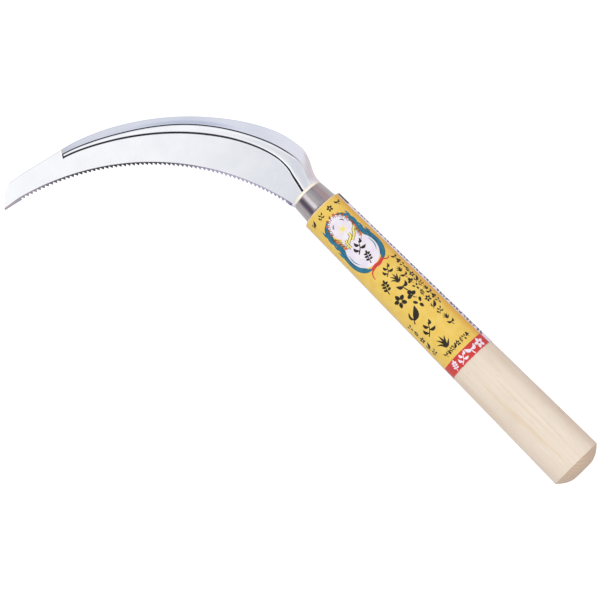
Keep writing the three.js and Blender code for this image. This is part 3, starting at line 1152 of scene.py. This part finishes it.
@dataclass
class Handle:
    """The turned wooden handle, slotted for the tang and drilled for its pin."""

    length: float = 207.9
    shoulder_x: float = -11.5
    shoulder_radius: float = 12.9
    butt_radius: float = 15.7
    butt_dome: float = 5.1
    butt_flat: float = 5.0
    butt_chamfer: float = 0.35
    shoulder_round: float = 0.5
    nose_standout: float = 1.9
    nose_radius: float = 9.25
    nose_round: float = 0.45
    seat_radius: float = 10.15
    sides: int = 144
    slot: Sequence[Pair] = ((-66.3, 4.1), (-66.3, -4.1), (4.0, -5.9), (4.0, 5.9))
    neck_slot: Sequence[Pair] = ((0.0, -20.0), (4.0, -20.0), (4.0, 20.0), (0.0, 20.0))
    slot_heights: Pair = (-0.9, 2.95)
    pin_hole: float = 1.4
    pin_setback: float = 6.0
    pin_top: float = 6.9

    @property
    def reach(self) -> float:
        """From the ferrule's mouth to the flat of the butt."""
        return self.length + self.butt_dome

    def radius_at(self, x: float) -> float:
        """The grip's radius at x."""
        share = (self.shoulder_x - x) / (self.shoulder_x + self.length)
        return lerp(self.shoulder_radius, self.butt_radius, share)

    def profile(self) -> list[Pair]:
        """The turned outline from the nose to the middle of the butt."""
        nose, broken = self.nose_standout, self.nose_round
        points = [(nose, 0), (nose, self.nose_radius - broken)]
        points += [(nose - 0.13, self.nose_radius - 0.13), (nose - broken, self.nose_radius)]
        points += [(0, self.nose_radius), (self.shoulder_x, self.seat_radius)]
        points += [(self.shoulder_x, self.shoulder_radius - self.shoulder_round)]
        points += [(self.shoulder_x - 0.15, self.shoulder_radius - 0.15)]
        grip = (self.shoulder_x - self.shoulder_round, -self.length + self.butt_chamfer)
        points += [(x, self.radius_at(x)) for x in (lerp(*grip, step / 24) for step in range(25))]
        rim = self.butt_radius - self.butt_chamfer
        for share in (step / 8 for step in range(9)):
            depth = self.butt_dome * (1 - (1 - share) ** 2)
            points.append((-self.length - depth, lerp(rim, self.butt_flat, share)))
        return points + [(-self.reach, 0)]

    def build(self, tool: ToolFrame) -> bpy.types.Object:
        """Builds and dresses the handle."""
        slot = prism(self.slot, *self.slot_heights)
        mouth = prism(self.neck_slot, *self.slot_heights)
        bore = pin_bore(self.pin_hole, self.pin_setback, self.pin_top)
        body = lathe(self.profile(), self.sides).mesh("turned_handle")
        mesh = cut(body, [slot.mesh("tang_slot"), mouth.mesh("neck_slot"), bore])
        store_mask(mesh, "end", mesh_points(mesh)[:, 0] < -self.length + 0.1)
        smooth(mesh, 30.0)
        obj = tool.place(mesh, "turned_handle")
        mesh.materials.append(PALE_WOOD.material())
        return declare(obj, "handle")


@dataclass
class TangPin:
    """The nail that holds the tang, driven in from the underside."""

    radius: float = 1.1
    setback: float = 6.0
    head_z: float = -10.55
    head_height: float = 0.5
    head_radius: float = 1.7
    tip_z: float = 6.6
    taper: float = 2.4
    sides: int = 40

    def build(self, tool: ToolFrame) -> bpy.types.Object:
        """Builds and dresses the nail."""
        top, crown = self.head_z - self.head_height, 0.8 * self.head_height
        profile = [(top, 0)]
        for turn in (math.radians(15 * step) for step in range(1, 7)):
            profile.append((top + crown * (1 - math.cos(turn)), self.head_radius * math.sin(turn)))
        profile += [(self.head_z, self.head_radius - 0.08), (self.head_z, self.radius)]
        profile += [(self.tip_z - self.taper, self.radius), (self.tip_z - 0.3, 0.25), (self.tip_z, 0)]
        mesh = upright(lathe(profile, self.sides), -self.setback).mesh("tang_nail")
        smooth(mesh, 40.0)
        obj = tool.place(mesh, "tang_nail")
        mesh.materials.append(PIN_STEEL.material())
        return declare(obj, "tang_pin")


# ---- Printed wrapper ----

class Mark(Enum):
    """How a printed mark's width runs along it, as shares of its full width."""

    LEAF = (0.1, 0.8, 1.0, 0.7, 0.08)
    STEM = (1.0, 0.85, 0.6)
    GRAIN = (0.5, 1.0, 0.95, 0.35)
    BAND = (0.9, 1.0, 0.9)


class Pictogram(Enum):
    """Small plant drawings in a unit square: each mark's kind, its (right, up) points and its width."""

    SPROUT = (
        (Mark.STEM, ((0.06, -0.5), (-0.03, -0.2), (0.0, 0.1)), 0.11),
        (Mark.LEAF, ((0.0, 0.02), (-0.28, 0.08), (-0.5, 0.44)), 0.34),
        (Mark.LEAF, ((0.0, 0.06), (0.32, 0.0), (0.5, 0.34)), 0.32),
    )
    BARLEY = (
        (Mark.STEM, ((-0.2, -0.52), (-0.06, -0.1), (0.08, 0.24)), 0.08),
        (Mark.GRAIN, ((-0.08, -0.2), (-0.34, -0.06)), 0.19),
        (Mark.GRAIN, ((-0.03, -0.22), (0.24, -0.22)), 0.19),
        (Mark.GRAIN, ((0.0, 0.02), (-0.26, 0.17)), 0.19),
        (Mark.GRAIN, ((0.05, 0.0), (0.32, 0.0)), 0.19),
        (Mark.GRAIN, ((0.08, 0.2), (-0.14, 0.38)), 0.18),
        (Mark.GRAIN, ((0.12, 0.18), (0.38, 0.24)), 0.18),
        (Mark.GRAIN, ((0.12, 0.26), (0.22, 0.52)), 0.18),
    )
    BRANCH = (
        (Mark.STEM, ((-0.42, -0.44), (0.0, -0.12), (0.28, 0.34)), 0.09),
        (Mark.LEAF, ((-0.2, -0.28), (-0.42, -0.06), (-0.4, 0.2)), 0.24),
        (Mark.LEAF, ((0.0, -0.12), (0.24, -0.26), (0.5, -0.2)), 0.24),
        (Mark.LEAF, ((0.08, 0.04), (-0.1, 0.22), (-0.1, 0.48)), 0.24),
        (Mark.LEAF, ((0.22, 0.22), (0.38, 0.24), (0.48, 0.5)), 0.22),
    )
    CLOVER = (
        (Mark.GRAIN, ((0.0, 0.04), (0.03, 0.5)), 0.42),
        (Mark.GRAIN, ((-0.04, -0.02), (-0.48, -0.04)), 0.38),
        (Mark.GRAIN, ((0.04, 0.0), (0.48, 0.02)), 0.38),
        (Mark.STEM, ((0.0, 0.0), (0.02, -0.3), (0.2, -0.52)), 0.09),
    )
    BLOSSOM = (
        (Mark.GRAIN, ((0.0, 0.1), (0.0, 0.5)), 0.3), (Mark.GRAIN, ((-0.1, 0.04), (-0.47, 0.17)), 0.3),
        (Mark.GRAIN, ((0.1, 0.04), (0.47, 0.17)), 0.3), (Mark.GRAIN, ((-0.07, -0.09), (-0.3, -0.42)), 0.3),
        (Mark.GRAIN, ((0.07, -0.09), (0.3, -0.42)), 0.3),
    )
    GRASS = (
        (Mark.LEAF, ((-0.08, -0.5), (-0.2, -0.1), (-0.52, 0.1)), 0.14),
        (Mark.LEAF, ((-0.04, -0.5), (-0.04, 0.0), (-0.28, 0.42)), 0.15),
        (Mark.LEAF, ((0.0, -0.5), (0.1, 0.05), (0.08, 0.52)), 0.15),
        (Mark.LEAF, ((0.04, -0.5), (0.2, -0.05), (0.42, 0.3)), 0.15),
        (Mark.LEAF, ((0.08, -0.5), (0.26, -0.3), (0.52, -0.1)), 0.14),
    )
    SEEDS = (
        (Mark.GRAIN, ((-0.36, 0.46), (-0.12, 0.08)), 0.26), (Mark.GRAIN, ((0.38, 0.42), (0.16, 0.04)), 0.26),
        (Mark.GRAIN, ((0.0, -0.06), (0.05, -0.5)), 0.28),
    )
    BEAN = (
        (Mark.LEAF, ((-0.34, -0.3), (0.12, -0.06), (0.46, 0.48)), 0.46),
        (Mark.STEM, ((-0.5, -0.5), (-0.4, -0.36), (-0.3, -0.28)), 0.1),
        (Mark.LEAF, ((-0.3, -0.26), (-0.4, 0.06), (-0.2, 0.4)), 0.2),
    )


def around(centre: Pair, radii: Pair, degrees: float) -> Pair:
    """The place at an angle on an oval, where 0 points down the sheet and 90 right."""
    turn = math.radians(degrees)
    return centre[0] + radii[0] * math.cos(turn), centre[1] + radii[1] * math.sin(turn)


@dataclass
class Artwork:
    """What is printed on the flat sheet: filled outlines in the order they are laid down.

    A place on the sheet is (down, right) in millimetres: down runs from the ferrule's end towards the
    butt, and right runs from the top of the handle towards its -Y side.
    """

    outlines: list[tuple[list[Pair], Ink]] = field(default_factory=list)
    curve_steps: int = 4
    line: float = 0.275

    def fill(self, outline: Sequence[Pair], ink: Ink) -> None:
        """Fills an outline."""
        self.outlines.append((list(outline), ink))

    def mark(self, kind: Mark, points: Sequence[Pair], width: float, ink: Ink) -> None:
        """Draws a mark along a smooth curve.

        Args:
            kind: how its width runs.
            points: what the curve goes through.
            width: its full width.
            ink: its colour.
        """
        steps = self.curve_steps * (len(points) - 1)
        tracks = [[(index, point[axis]) for index, point in enumerate(points)] for axis in (0, 1)]
        stops = [step / self.curve_steps for step in range(steps + 1)]
        line = [Vector([along(track, stop) for track in tracks]) for stop in stops]
        last = len(kind.value) - 1
        profile = [(index / last, share) for index, share in enumerate(kind.value)]
        left, right = [], []
        for step, point in enumerate(line):
            heading = (line[min(step + 1, steps)] - line[max(step - 1, 0)]).normalized()
            size = width * along(profile, step / steps) / 2
            normal = Vector((-heading.y, heading.x)) * size
            left.append(tuple(point + normal))
            right.append(tuple(point - normal))
        self.fill(left + right[::-1], ink)

    def outlined(self, kind: Mark, points: Sequence[Pair], width: float, ink: Ink) -> None:
        """Draws a mark with a thin dark line round it."""
        self.mark(kind, points, width + 2 * self.line, Ink.BLACK)
        self.mark(kind, points, width, ink)

    def oval(self, centre: Pair, radii: Pair, ink: Ink, sides: int = 40) -> None:
        """Fills an oval."""
        self.fill([around(centre, radii, 360 * side / sides) for side in range(sides)], ink)

    def pictogram(self, drawing: Pictogram, centre: Pair, size: Pair, ink: Ink) -> None:
        """Draws a pictogram.

        Args:
            drawing: which one.
            centre: its middle on the sheet.
            size: its size down and right.
            ink: its colour.
        """
        scale = (size[0] + size[1]) / 2
        for kind, points, width in drawing.value:
            moved = [(centre[0] - up * size[0], centre[1] + right * size[1]) for right, up in points]
            self.mark(kind, moved, width * scale, ink)


@dataclass(frozen=True)
class Column:
    """A column of pictograms down the sheet: its first centre, pitch and size, and how it leans."""

    count: int
    down: float
    right: float
    pitch: float
    size: float
    starts_with: int
    slant: float = 0.0


@dataclass
class PaperWrapper:
    """The printed paper that is wound once round the grip and lapped over itself."""

    handle: Handle
    front: float = -12.0
    length: float = 117.0
    thickness: float = 0.12
    gap: float = 0.07
    start_degrees: float = -247.5
    end_degrees: float = 120.0
    lift_degrees: Pair = (97.5, 105.0)
    facet_degrees: float = 3.75
    panel_degrees: Pair = (-76.0, 59.5)
    unroll_radius: float = 14.0
    red_band: float = 7.0
    wave: float = 0.02
    border: Pair = (0.5, 0.35)
    corner_block: Place = (8.0, 1.2, 10.0)
    emblem_middle: float = -0.8
    top_marks_down: float = 4.1
    top_marks: Sequence[tuple[Pictogram, float]] = (
        (Pictogram.BEAN, -10.5),
        (Pictogram.BRANCH, -3.9),
        (Pictogram.BLOSSOM, 2.8),
        (Pictogram.SPROUT, 9.0),
    )
    foot_marks: int = 8
    foot_down: float = 105.9
    foot_from: float = -8.9
    foot_pitch: float = 2.35
    band_marks: Sequence[tuple[Pictogram, float]] = (
        (Pictogram.BARLEY, -9.9),
        (Pictogram.BRANCH, -3.4),
        (Pictogram.SPROUT, 3.1),
        (Pictogram.BLOSSOM, 9.4),
    )
    dash_rows: Sequence[float] = (16.9, 19.1, 21.6, -28.0, -31.0, -34.0, -37.0, -40.0)
    dash_width: float = 2.1
    columns: Sequence[Column] = (
        Column(5, 50.8, 1.1, 6.25, 6.0, 2),
        Column(5, 57.0, -6.0, 10.7, 7.6, 1, 0.2),
        Column(11, 47.6, 10.2, 3.4, 3.6, 0),
        Column(10, 54.6, 6.3, 4.5, 3.9, 5),
        Column(5, 81.6, -14.0, 4.6, 3.9, 6),
    )

    def radius_at(self, down: float) -> float:
        """The grip's radius at a distance down the sheet."""
        return self.handle.radius_at(self.front - down)

    def flat(self, degrees: float) -> float:
        """An angle round the grip as a distance across the unrolled sheet."""
        return math.radians(degrees) * self.unroll_radius

    def unrolled(self, point: Pair) -> Pair:
        """A printed place, whose distance right is measured round the grip, on the unrolled sheet."""
        down, right = point
        return down, right / self.radius_at(down) * self.unroll_radius

    def panels(self) -> list[tuple[list[Pair], Ink]]:
        """The sheet's large areas, on the unrolled sheet."""
        start, end = self.flat(self.start_degrees), self.flat(self.end_degrees)
        left, right = (self.flat(degrees) for degrees in self.panel_degrees)
        band = self.length - self.red_band

        def box(top: float, bottom: float, near: float, far: float) -> list[Pair]:
            """A rectangle on the sheet."""
            return [(top, near), (bottom, near), (bottom, far), (top, far)]

        edge = right + self.border[1]
        bottom, near_side, far_side = self.corner_block
        return [
            (box(0, self.length, start, end), Ink.BARE),
            (box(0, self.length, left - self.border[0], edge), Ink.BORDER),
            (box(0, band, left, right), Ink.YELLOW),
            (box(band, self.length, left, edge), Ink.RED),
            (box(0, bottom, right + near_side, right + far_side), Ink.OLIVE),
        ]

    def artwork(self) -> Artwork:
        """The emblem and the rows of pictograms on the front panel, and the plain rows beside it."""
        art = Artwork()
        self.draw_emblem(art)
        self.draw_rows(art)
        self.draw_side_rows(art)
        return art

    def draw_emblem(self, art: Artwork) -> None:
        """A white double oval in a wreath of leaves and grain, with a sun, a ribbon and a bow."""
        self.draw_wreath(art)
        art.oval((15.6, -0.3), (7.3, 6.5), Ink.BARE)
        art.oval((24.6, -0.7), (5.0, 5.6), Ink.BARE)
        art.oval((33.5, -1.0), (10.0, 9.1), Ink.BARE)
        self.draw_grain(art)
        self.draw_sun(art, (17.4, -0.2))
        art.outlined(Mark.BAND, [(20.2, 5.6), (21.6, 3.8), (23.8, 2.2), (25.6, -0.6)], 1.2, Ink.PALE)
        art.outlined(Mark.BAND, [(21.2, 0.6), (23.2, 0.2), (24.6, -2.2), (26.6, -5.6)], 1.2, Ink.PALE)
        art.outlined(Mark.BAND, [(22.8, -3.0), (25.0, -4.2), (28.2, -4.0)], 1.0, Ink.PALE)
        art.pictogram(Pictogram.BRANCH, (30.6, -0.6), (7.2, 7.0), Ink.BLACK)
        art.pictogram(Pictogram.BARLEY, (38.2, -0.9), (7.0, 6.4), Ink.BLACK)
        art.mark(Mark.BAND, [(43.8, 4.2), (44.9, 0.8), (44.5, -1.4), (45.1, -4.8)], 2.1, Ink.RED)
        art.mark(Mark.STEM, [(44.3, 3.8), (45.9, 6.0), (45.2, 8.2)], 0.8, Ink.RED)
        art.mark(Mark.STEM, [(45.2, -4.2), (46.9, -6.4), (49.7, -7.3)], 0.8, Ink.RED)

    def draw_sun(self, art: Artwork, centre: Pair, rays: int = 8) -> None:
        """A small disc with rays."""
        art.oval(centre, (1.35, 1.35), Ink.PALE, 20)
        for ray in range(rays):
            degrees = 360 * ray / rays + 10
            ends = [around(centre, (reach, reach), degrees) for reach in (1.7, 2.9)]
            art.mark(Mark.LEAF, ends, 0.55, Ink.PALE)

    def mirrored(self, side: int, *places: Pair) -> list[Pair]:
        """Places measured out from the emblem's middle, on its left (-1) or its right (1)."""
        return [(down, side * right + self.emblem_middle) for down, right in places]

    def draw_wreath(self, art: Artwork) -> None:
        """Teal leaves that lie over one another up both sides of the emblem."""
        spine = ((8.2, 2.6), (12.4, 6.6), (17.6, 8.5), (23.6, 8.1), (30.0, 9.7), (37.0, 9.9), (42.6, 6.8),
                 (45.4, 1.6))
        small = ((44.0, 5.6), (40.4, 8.6), (35.6, 10.3), (30.4, 10.4), (25.6, 9.0), (21.0, 8.9), (16.4, 8.4))
        veins = ((41.5, 6.6), (36.5, 9.2), (31.0, 9.3), (20.5, 7.3))
        for side in (-1, 1):
            path = self.mirrored(side, *spine)
            for width, ink in ((3.7, Ink.BLACK), (3.1, Ink.TEAL)):
                art.mark(Mark.LEAF, path[:4], width, ink)
                art.mark(Mark.LEAF, path[2:], width + 0.5, ink)
            for down, right in small:
                leaf = ((down, right - 0.6), (down - 3.0, right + 0.9), (down - 6.4, right + 0.7))
                art.mark(Mark.LEAF, self.mirrored(side, *leaf), 1.5, Ink.TEAL)
            for down, right in veins:
                vein = ((down, right), (down - 2.6, right + 0.7), (down - 5.4, right))
                art.mark(Mark.LEAF, self.mirrored(side, *vein), 0.4, Ink.BLACK)

    def draw_grain(self, art: Artwork) -> None:
        """Ears of grain over the top of the emblem and beside its waist."""
        inks = (Ink.BROWN, Ink.ORANGE, Ink.BROWN)
        middle = (15.4, -0.3)
        for side in (-1, 1):
            for step in range(9):
                degrees = 180 + side * (10 + 10.5 * step)
                base = around(middle, (6.7, 6.1), degrees)
                tip = around(base, (1.9, 1.9), degrees + (38 if step % 2 else -38))
                art.mark(Mark.GRAIN, [base, tip], 1.15, inks[step % 3])
                stalk = [around(middle, (5.7, 5.2), degrees), base]
                art.mark(Mark.STEM, stalk, 0.45, Ink.BLACK if step % 3 == 1 else Ink.BROWN)
            for step in range(5):
                down, right = 19.4 + 1.9 * step, side * (6.3 - 0.3 * step) - 0.7
                art.mark(Mark.GRAIN, [(down, right), (down - 1.7, right + side * 1.5)], 1.2, inks[step % 3])
                art.mark(Mark.STEM, [(down, right), (down + 1.5, right - side * 1.2)], 0.35, Ink.BLACK)
            brow = [(12.2, side * 2.0), (13.2, side * 3.4), (14.6, side * 3.6)]
            art.mark(Mark.LEAF, brow, 0.6, Ink.BLACK)
            cheek = [(30.0, side * 7.6 - 1), (34.5, side * 7.9 - 1), (38.4, side * 6.2 - 1)]
            art.mark(Mark.LEAF, cheek, 0.6, Ink.TEAL)

    def draw_rows(self, art: Artwork) -> None:
        """Columns of pictograms down the panel, a row across its foot, and the red band's marks."""
        drawings = list(Pictogram)
        for drawing, right in self.top_marks:
            art.pictogram(drawing, (self.top_marks_down, right), (3.7, 3.7), Ink.BLACK)
        for column in self.columns:
            for index in range(column.count):
                drawing = drawings[(3 * index + column.starts_with) % len(drawings)]
                centre = (column.down + column.pitch * index, column.right + column.slant * index)
                art.pictogram(drawing, centre, (column.size, column.size), Ink.BLACK)
        for index in range(self.foot_marks):
            centre = (self.foot_down, self.foot_from + self.foot_pitch * index)
            art.pictogram(drawings[(5 * index) % len(drawings)], centre, (3.5, 2.4), Ink.BLACK)
        for drawing, right in self.band_marks:
            art.pictogram(drawing, (self.length - self.red_band / 2, right), (6.0, 6.0), Ink.BARE)

    def draw_side_rows(self, art: Artwork) -> None:
        """Rows of plain dashes down the white part of the sheet."""
        for row, right in enumerate(self.dash_rows):
            down, bottom = (12.0, 110.0) if right > 0 else (20.0, 96.0)
            index = row
            while down < bottom:
                size = 0.9 + 0.45 * ((index * 7) % 3)
                art.mark(Mark.BAND, [(down, right), (down + size, right)], self.dash_width, Ink.BLUE)
                down += size + (0.9 if (index * 5) % 4 else 2.1)
                index += 1

    def sheet(self) -> tuple[list[Pair], list[tuple[int, ...]], list[Ink]]:
        """Divides the unrolled sheet along every printed outline.

        Returns:
            The points, the triangles between them, and each triangle's ink.
        """
        outlines = self.panels()
        for outline, ink in self.artwork().outlines:
            outlines.append(([self.unrolled(point) for point in outline], ink))
        points: list[Vector] = []
        faces: list[list[int]] = []
        for outline, _ in outlines:
            area = sum(a[0] * b[1] - b[0] * a[1] for a, b in zip(outline, outline[1:] + outline[:1]))
            ordered = outline if area > 0 else outline[::-1]
            faces.append(list(range(len(points), len(points) + len(ordered))))
            points += [Vector(point) for point in ordered]
        edges = []
        facets = round((self.end_degrees - self.start_degrees) / self.facet_degrees)
        near, far = self.flat(self.start_degrees), self.flat(self.end_degrees)
        lines = [((0, right), (self.length, right)) for right in np.linspace(near, far, facets + 1)[1:-1]]
        downs = [0.4, *np.linspace(0, self.length, 14)[1:-1], self.length - 0.4]
        lines += [((down, near), (down, far)) for down in downs]
        for start, end in lines:
            edges.append((len(points), len(points) + 1))
            points += [Vector(start), Vector(end)]
        made, _, triangles, _, _, owners = delaunay_2d_cdt(points, edges, faces, 0, 1e-4, True)
        inks = [outlines[max(owner)][1] for owner in owners if owner]
        kept = [tuple(face) for face, owner in zip(triangles, owners) if owner]
        return [tuple(point) for point in made], kept, inks

    def wound(self, point: Pair) -> tuple[Place, Place]:
        """Where a place on the unrolled sheet lies, on its printed side and on its back.

        Args:
            point: the place on the unrolled sheet.

        Returns:
            The two points in the tool's frame.
        """
        down, right = point
        turn = right / self.unroll_radius
        lift = smoothstep(math.degrees(turn), *self.lift_degrees) * (self.thickness + self.gap)
        wave = self.wave * math.sin(down * 0.21 + 3 * turn) * math.sin(down * 0.083 - 2 * turn)
        base = self.radius_at(down) + self.gap + lift + wave
        x = self.front - down

        def at(radius: float) -> Place:
            """The point at that radius."""
            return x, -radius * math.sin(turn), radius * math.cos(turn)

        return at(base + self.thickness), at(base)

    def build(self, tool: ToolFrame) -> bpy.types.Object:
        """Builds the printed sheet with its real thickness, and dresses each colour."""
        flat_points, triangles, inks = self.sheet()
        count = len(flat_points)
        sides = [self.wound(point) for point in flat_points]
        draft = Draft([top for top, _ in sides] + [under for _, under in sides])
        draft.places = [(down, right, 0.0) for down, right in flat_points] * 2
        slots = {ink: index for index, ink in enumerate(Ink)}
        draft.faces = triangles + [tuple(count + corner for corner in face[::-1]) for face in triangles]
        draft.slots = [slots[ink] for ink in inks] + [slots[Ink.BACK]] * len(triangles)
        uses = Counter(frozenset(pair) for face in triangles for pair in zip(face, face[1:] + face[:1]))
        for face in triangles:
            for first, second in zip(face, face[1:] + face[:1]):
                if uses[frozenset((first, second))] == 1:
                    draft.faces.append((second, first, count + first, count + second))
                    draft.slots.append(slots[Ink.BACK])
        rim = [1.0 if min(down, self.length - down) < 0.01 else 0.0 for down, _ in flat_points]
        draft.masks["rim"] = rim * 2
        mesh = draft.mesh("printed_wrapper")
        mesh.shade_smooth()
        outward = [Vector((0.0, top[1], top[2])).normalized() for top, _ in sides]
        obj = tool.place(mesh, "printed_wrapper")
        turn = tool.matrix.to_3x3()
        normals = [turn @ normal for normal in outward] + [turn @ -normal for normal in outward]
        mesh.normals_split_custom_set_from_vertices(normals)
        for ink in Ink:
            mesh.materials.append(ink.value.material())
        return declare(obj, "paper_wrapper")


def declare(obj: bpy.types.Object, node: str) -> bpy.types.Object:
    """Hangs a piece on the root body and hides the imported solid that it stands for."""
    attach(obj, "root")
    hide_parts(node)
    return obj


# ---- Studio ----

@dataclass(frozen=True)
class SkyPatch:
    """A soft round patch of the studio's surroundings, seen in the steel."""

    toward: Place
    inner: float
    outer: float
    glow: Place

    def lay_over(self, graph: Graph, below: object, way: bpy.types.NodeSocket) -> bpy.types.NodeSocket:
        """Lays the patch over the colours before it.

        Args:
            graph: the world's graph.
            below: the colour so far.
            way: the direction looked in.

        Returns:
            The colour with the patch on it.
        """
        axis = Vector(self.toward).normalized()
        dot = graph.add("ShaderNodeVectorMath", {0: way, 1: axis}, operation="DOT_PRODUCT").outputs["Value"]
        edges = (math.cos(math.radians(self.outer)), math.cos(math.radians(self.inner)))
        return graph.blend(graph.remap(dot, edges), below, (*self.glow, 1.0))


@dataclass
class Studio:
    """A pale floor, soft overhead light, plain surroundings and the camera."""

    tool: ToolFrame
    target: Place = (-38.59, 43.85, 0.0)
    distance: float = 1200.0
    lean: float = math.radians(9.0)
    roll: float = math.radians(134.636)
    lens: float = 130.9
    sensor: float = 36.0
    floor_size: float = 6.0
    floor_drop: float = 0.0003
    floor_colour: Place = (0.74, 0.72, 0.73)
    floor_glow: float = 1.15
    floor_mirror_dim: float = 0.2
    light_size: float = 1.0
    light_power: float = 10.6
    light_colour: Place = (1.0, 0.985, 0.96)
    light_place: Place = (-0.25, 0.2, 1.5)
    base_glow: Place = (0.66, 0.60, 0.62)
    patches: Sequence[SkyPatch] = (
        SkyPatch((0.20, -0.95, 0.30), 22, 45, (0.86, 0.71, 0.71)),
        SkyPatch((0.68, -0.40, 0.62), 19, 29, (0.52, 0.56, 0.70)),
        SkyPatch((-0.10, 0.83, 0.55), 20, 32, (0.74, 0.71, 0.84)),
        SkyPatch((0.25, 0.87, 0.43), 11, 19, (0.22, 0.19, 0.26)),
        SkyPatch((-0.42, 0.61, 0.665), 12.5, 17.5, (0.012, 0.012, 0.02)),
        SkyPatch((0.30, -0.33, 0.90), 9, 16, (0.82, 0.82, 0.88)),
        SkyPatch((0.45, -0.12, 0.89), 9, 20, (0.75, 0.77, 0.85)),
        SkyPatch((0.36, 0.37, 0.86), 9, 18, (1.75, 1.78, 1.80)),
        SkyPatch((0.235, 0.015, 0.97), 10, 19, (1.02, 1.02, 1.02)),
        SkyPatch((0.114, -0.045, 0.99), 7.3, 10.7, (0.71, 0.725, 0.77)),
    )

    def make_camera(self) -> None:
        """Places the camera above the tool, leaning towards the butt."""
        tilt_x = Vector((math.cos(self.lean), 0, math.sin(self.lean)))
        ahead = Vector((math.sin(self.lean), 0, -math.cos(self.lean)))
        side = Vector((0, 1, 0))
        right = tilt_x * math.cos(self.roll) - side * math.sin(self.roll)
        up = tilt_x * math.sin(self.roll) + side * math.cos(self.roll)
        place = Vector(self.target) - ahead * self.distance
        local = Matrix((right, up, -ahead)).transposed().to_4x4()
        local.translation = place * MM
        camera = bpy.data.cameras.new("camera")
        camera.lens = self.lens
        camera.sensor_width = self.sensor
        camera.clip_start = 0.05
        obj = bpy.data.objects.new("camera", camera)
        bpy.context.scene.collection.objects.link(obj)
        obj.matrix_world = self.tool.matrix @ local
        bpy.context.scene.camera = obj

    def make_floor(self) -> None:
        """Lays a plain pale floor that looks pure white."""
        half = self.floor_size / 2
        mesh = bpy.data.meshes.new("floor")
        corners = [(-half, -half), (half, -half), (half, half), (-half, half)]
        mesh.from_pydata([(x, y, -self.floor_drop) for x, y in corners], [], [(0, 1, 2, 3)])
        floor = bpy.data.objects.new("floor", mesh)
        bpy.context.scene.collection.objects.link(floor)
        material = bpy.data.materials.new("pale_floor")
        material.use_nodes = True
        graph = Graph(material.node_tree)
        matte = graph.add("ShaderNodeBsdfDiffuse", {"Color": (*self.floor_colour, 1.0)})
        path = graph.add("ShaderNodeLightPath")
        dim = graph.math("MULTIPLY", path.outputs["Is Glossy Ray"], self.floor_mirror_dim)
        strength = graph.math("SUBTRACT", self.floor_glow, dim)
        glow = graph.add("ShaderNodeEmission", {"Color": (1.0, 1.0, 1.0, 1.0), "Strength": strength})
        seen = graph.math("MAXIMUM", path.outputs["Is Camera Ray"], path.outputs["Is Glossy Ray"])
        shader = graph.add("ShaderNodeMixShader", {0: seen, 1: matte.outputs[0], 2: glow.outputs[0]})
        output = graph.add("ShaderNodeOutputMaterial")
        graph.feed(output.inputs["Surface"], shader.outputs[0])
        mesh.materials.append(material)

    def make_surroundings(self) -> None:
        """Gives the studio its soft patches of light and shade, and a plain backdrop to the eye."""
        world = bpy.data.worlds.new("studio")
        world.use_nodes = True
        bpy.context.scene.world = world
        graph = Graph(world.node_tree)
        way = graph.add("ShaderNodeTexCoord").outputs["Generated"]
        colour: object = (*self.base_glow, 1.0)
        for patch in self.patches:
            colour = patch.lay_over(graph, colour, way)
        seen = graph.add("ShaderNodeLightPath").outputs["Is Camera Ray"]
        colour = graph.blend(seen, colour, (1.0, 1.0, 1.0, 1.0))
        background = graph.add("ShaderNodeBackground", {"Color": colour})
        output = graph.add("ShaderNodeOutputWorld")
        graph.feed(output.inputs["Surface"], background.outputs[0])

    def make_light(self) -> None:
        """Hangs one large soft light above, a little to the blade's side."""
        light = bpy.data.lights.new("overhead", "AREA")
        light.shape = "DISK"
        light.size = self.light_size
        light.energy = self.light_power
        light.color = self.light_colour
        obj = bpy.data.objects.new("overhead", light)
        bpy.context.scene.collection.objects.link(obj)
        obj.location = self.tool.direction(*self.light_place)
        aim = -Vector(obj.location)
        obj.rotation_mode = "QUATERNION"
        obj.rotation_quaternion = aim.to_track_quat("-Z", "Y")
        obj.visible_glossy = False

    def build(self) -> None:
        """Builds the whole studio."""
        bpy.context.scene.view_settings.view_transform = "Standard"
        self.make_camera()
        self.make_floor()
        self.make_surroundings()
        self.make_light()


def main() -> None:
    """Builds the sickle piece by piece, then the studio round it."""
    logging.basicConfig(level=logging.INFO, format="%(name)s: %(message)s")
    handle = Handle()
    tool = ToolFrame.from_record(frame["record"], handle.reach)
    for part in (Blade(), handle, Ferrule(), TangPin(), PaperWrapper(handle)):
        piece = part.build(tool)
        LOG.info("%s: %d faces", piece.name, len(piece.data.polygons))
    Studio(tool).build()


if __name__ == "__main__":
    main()
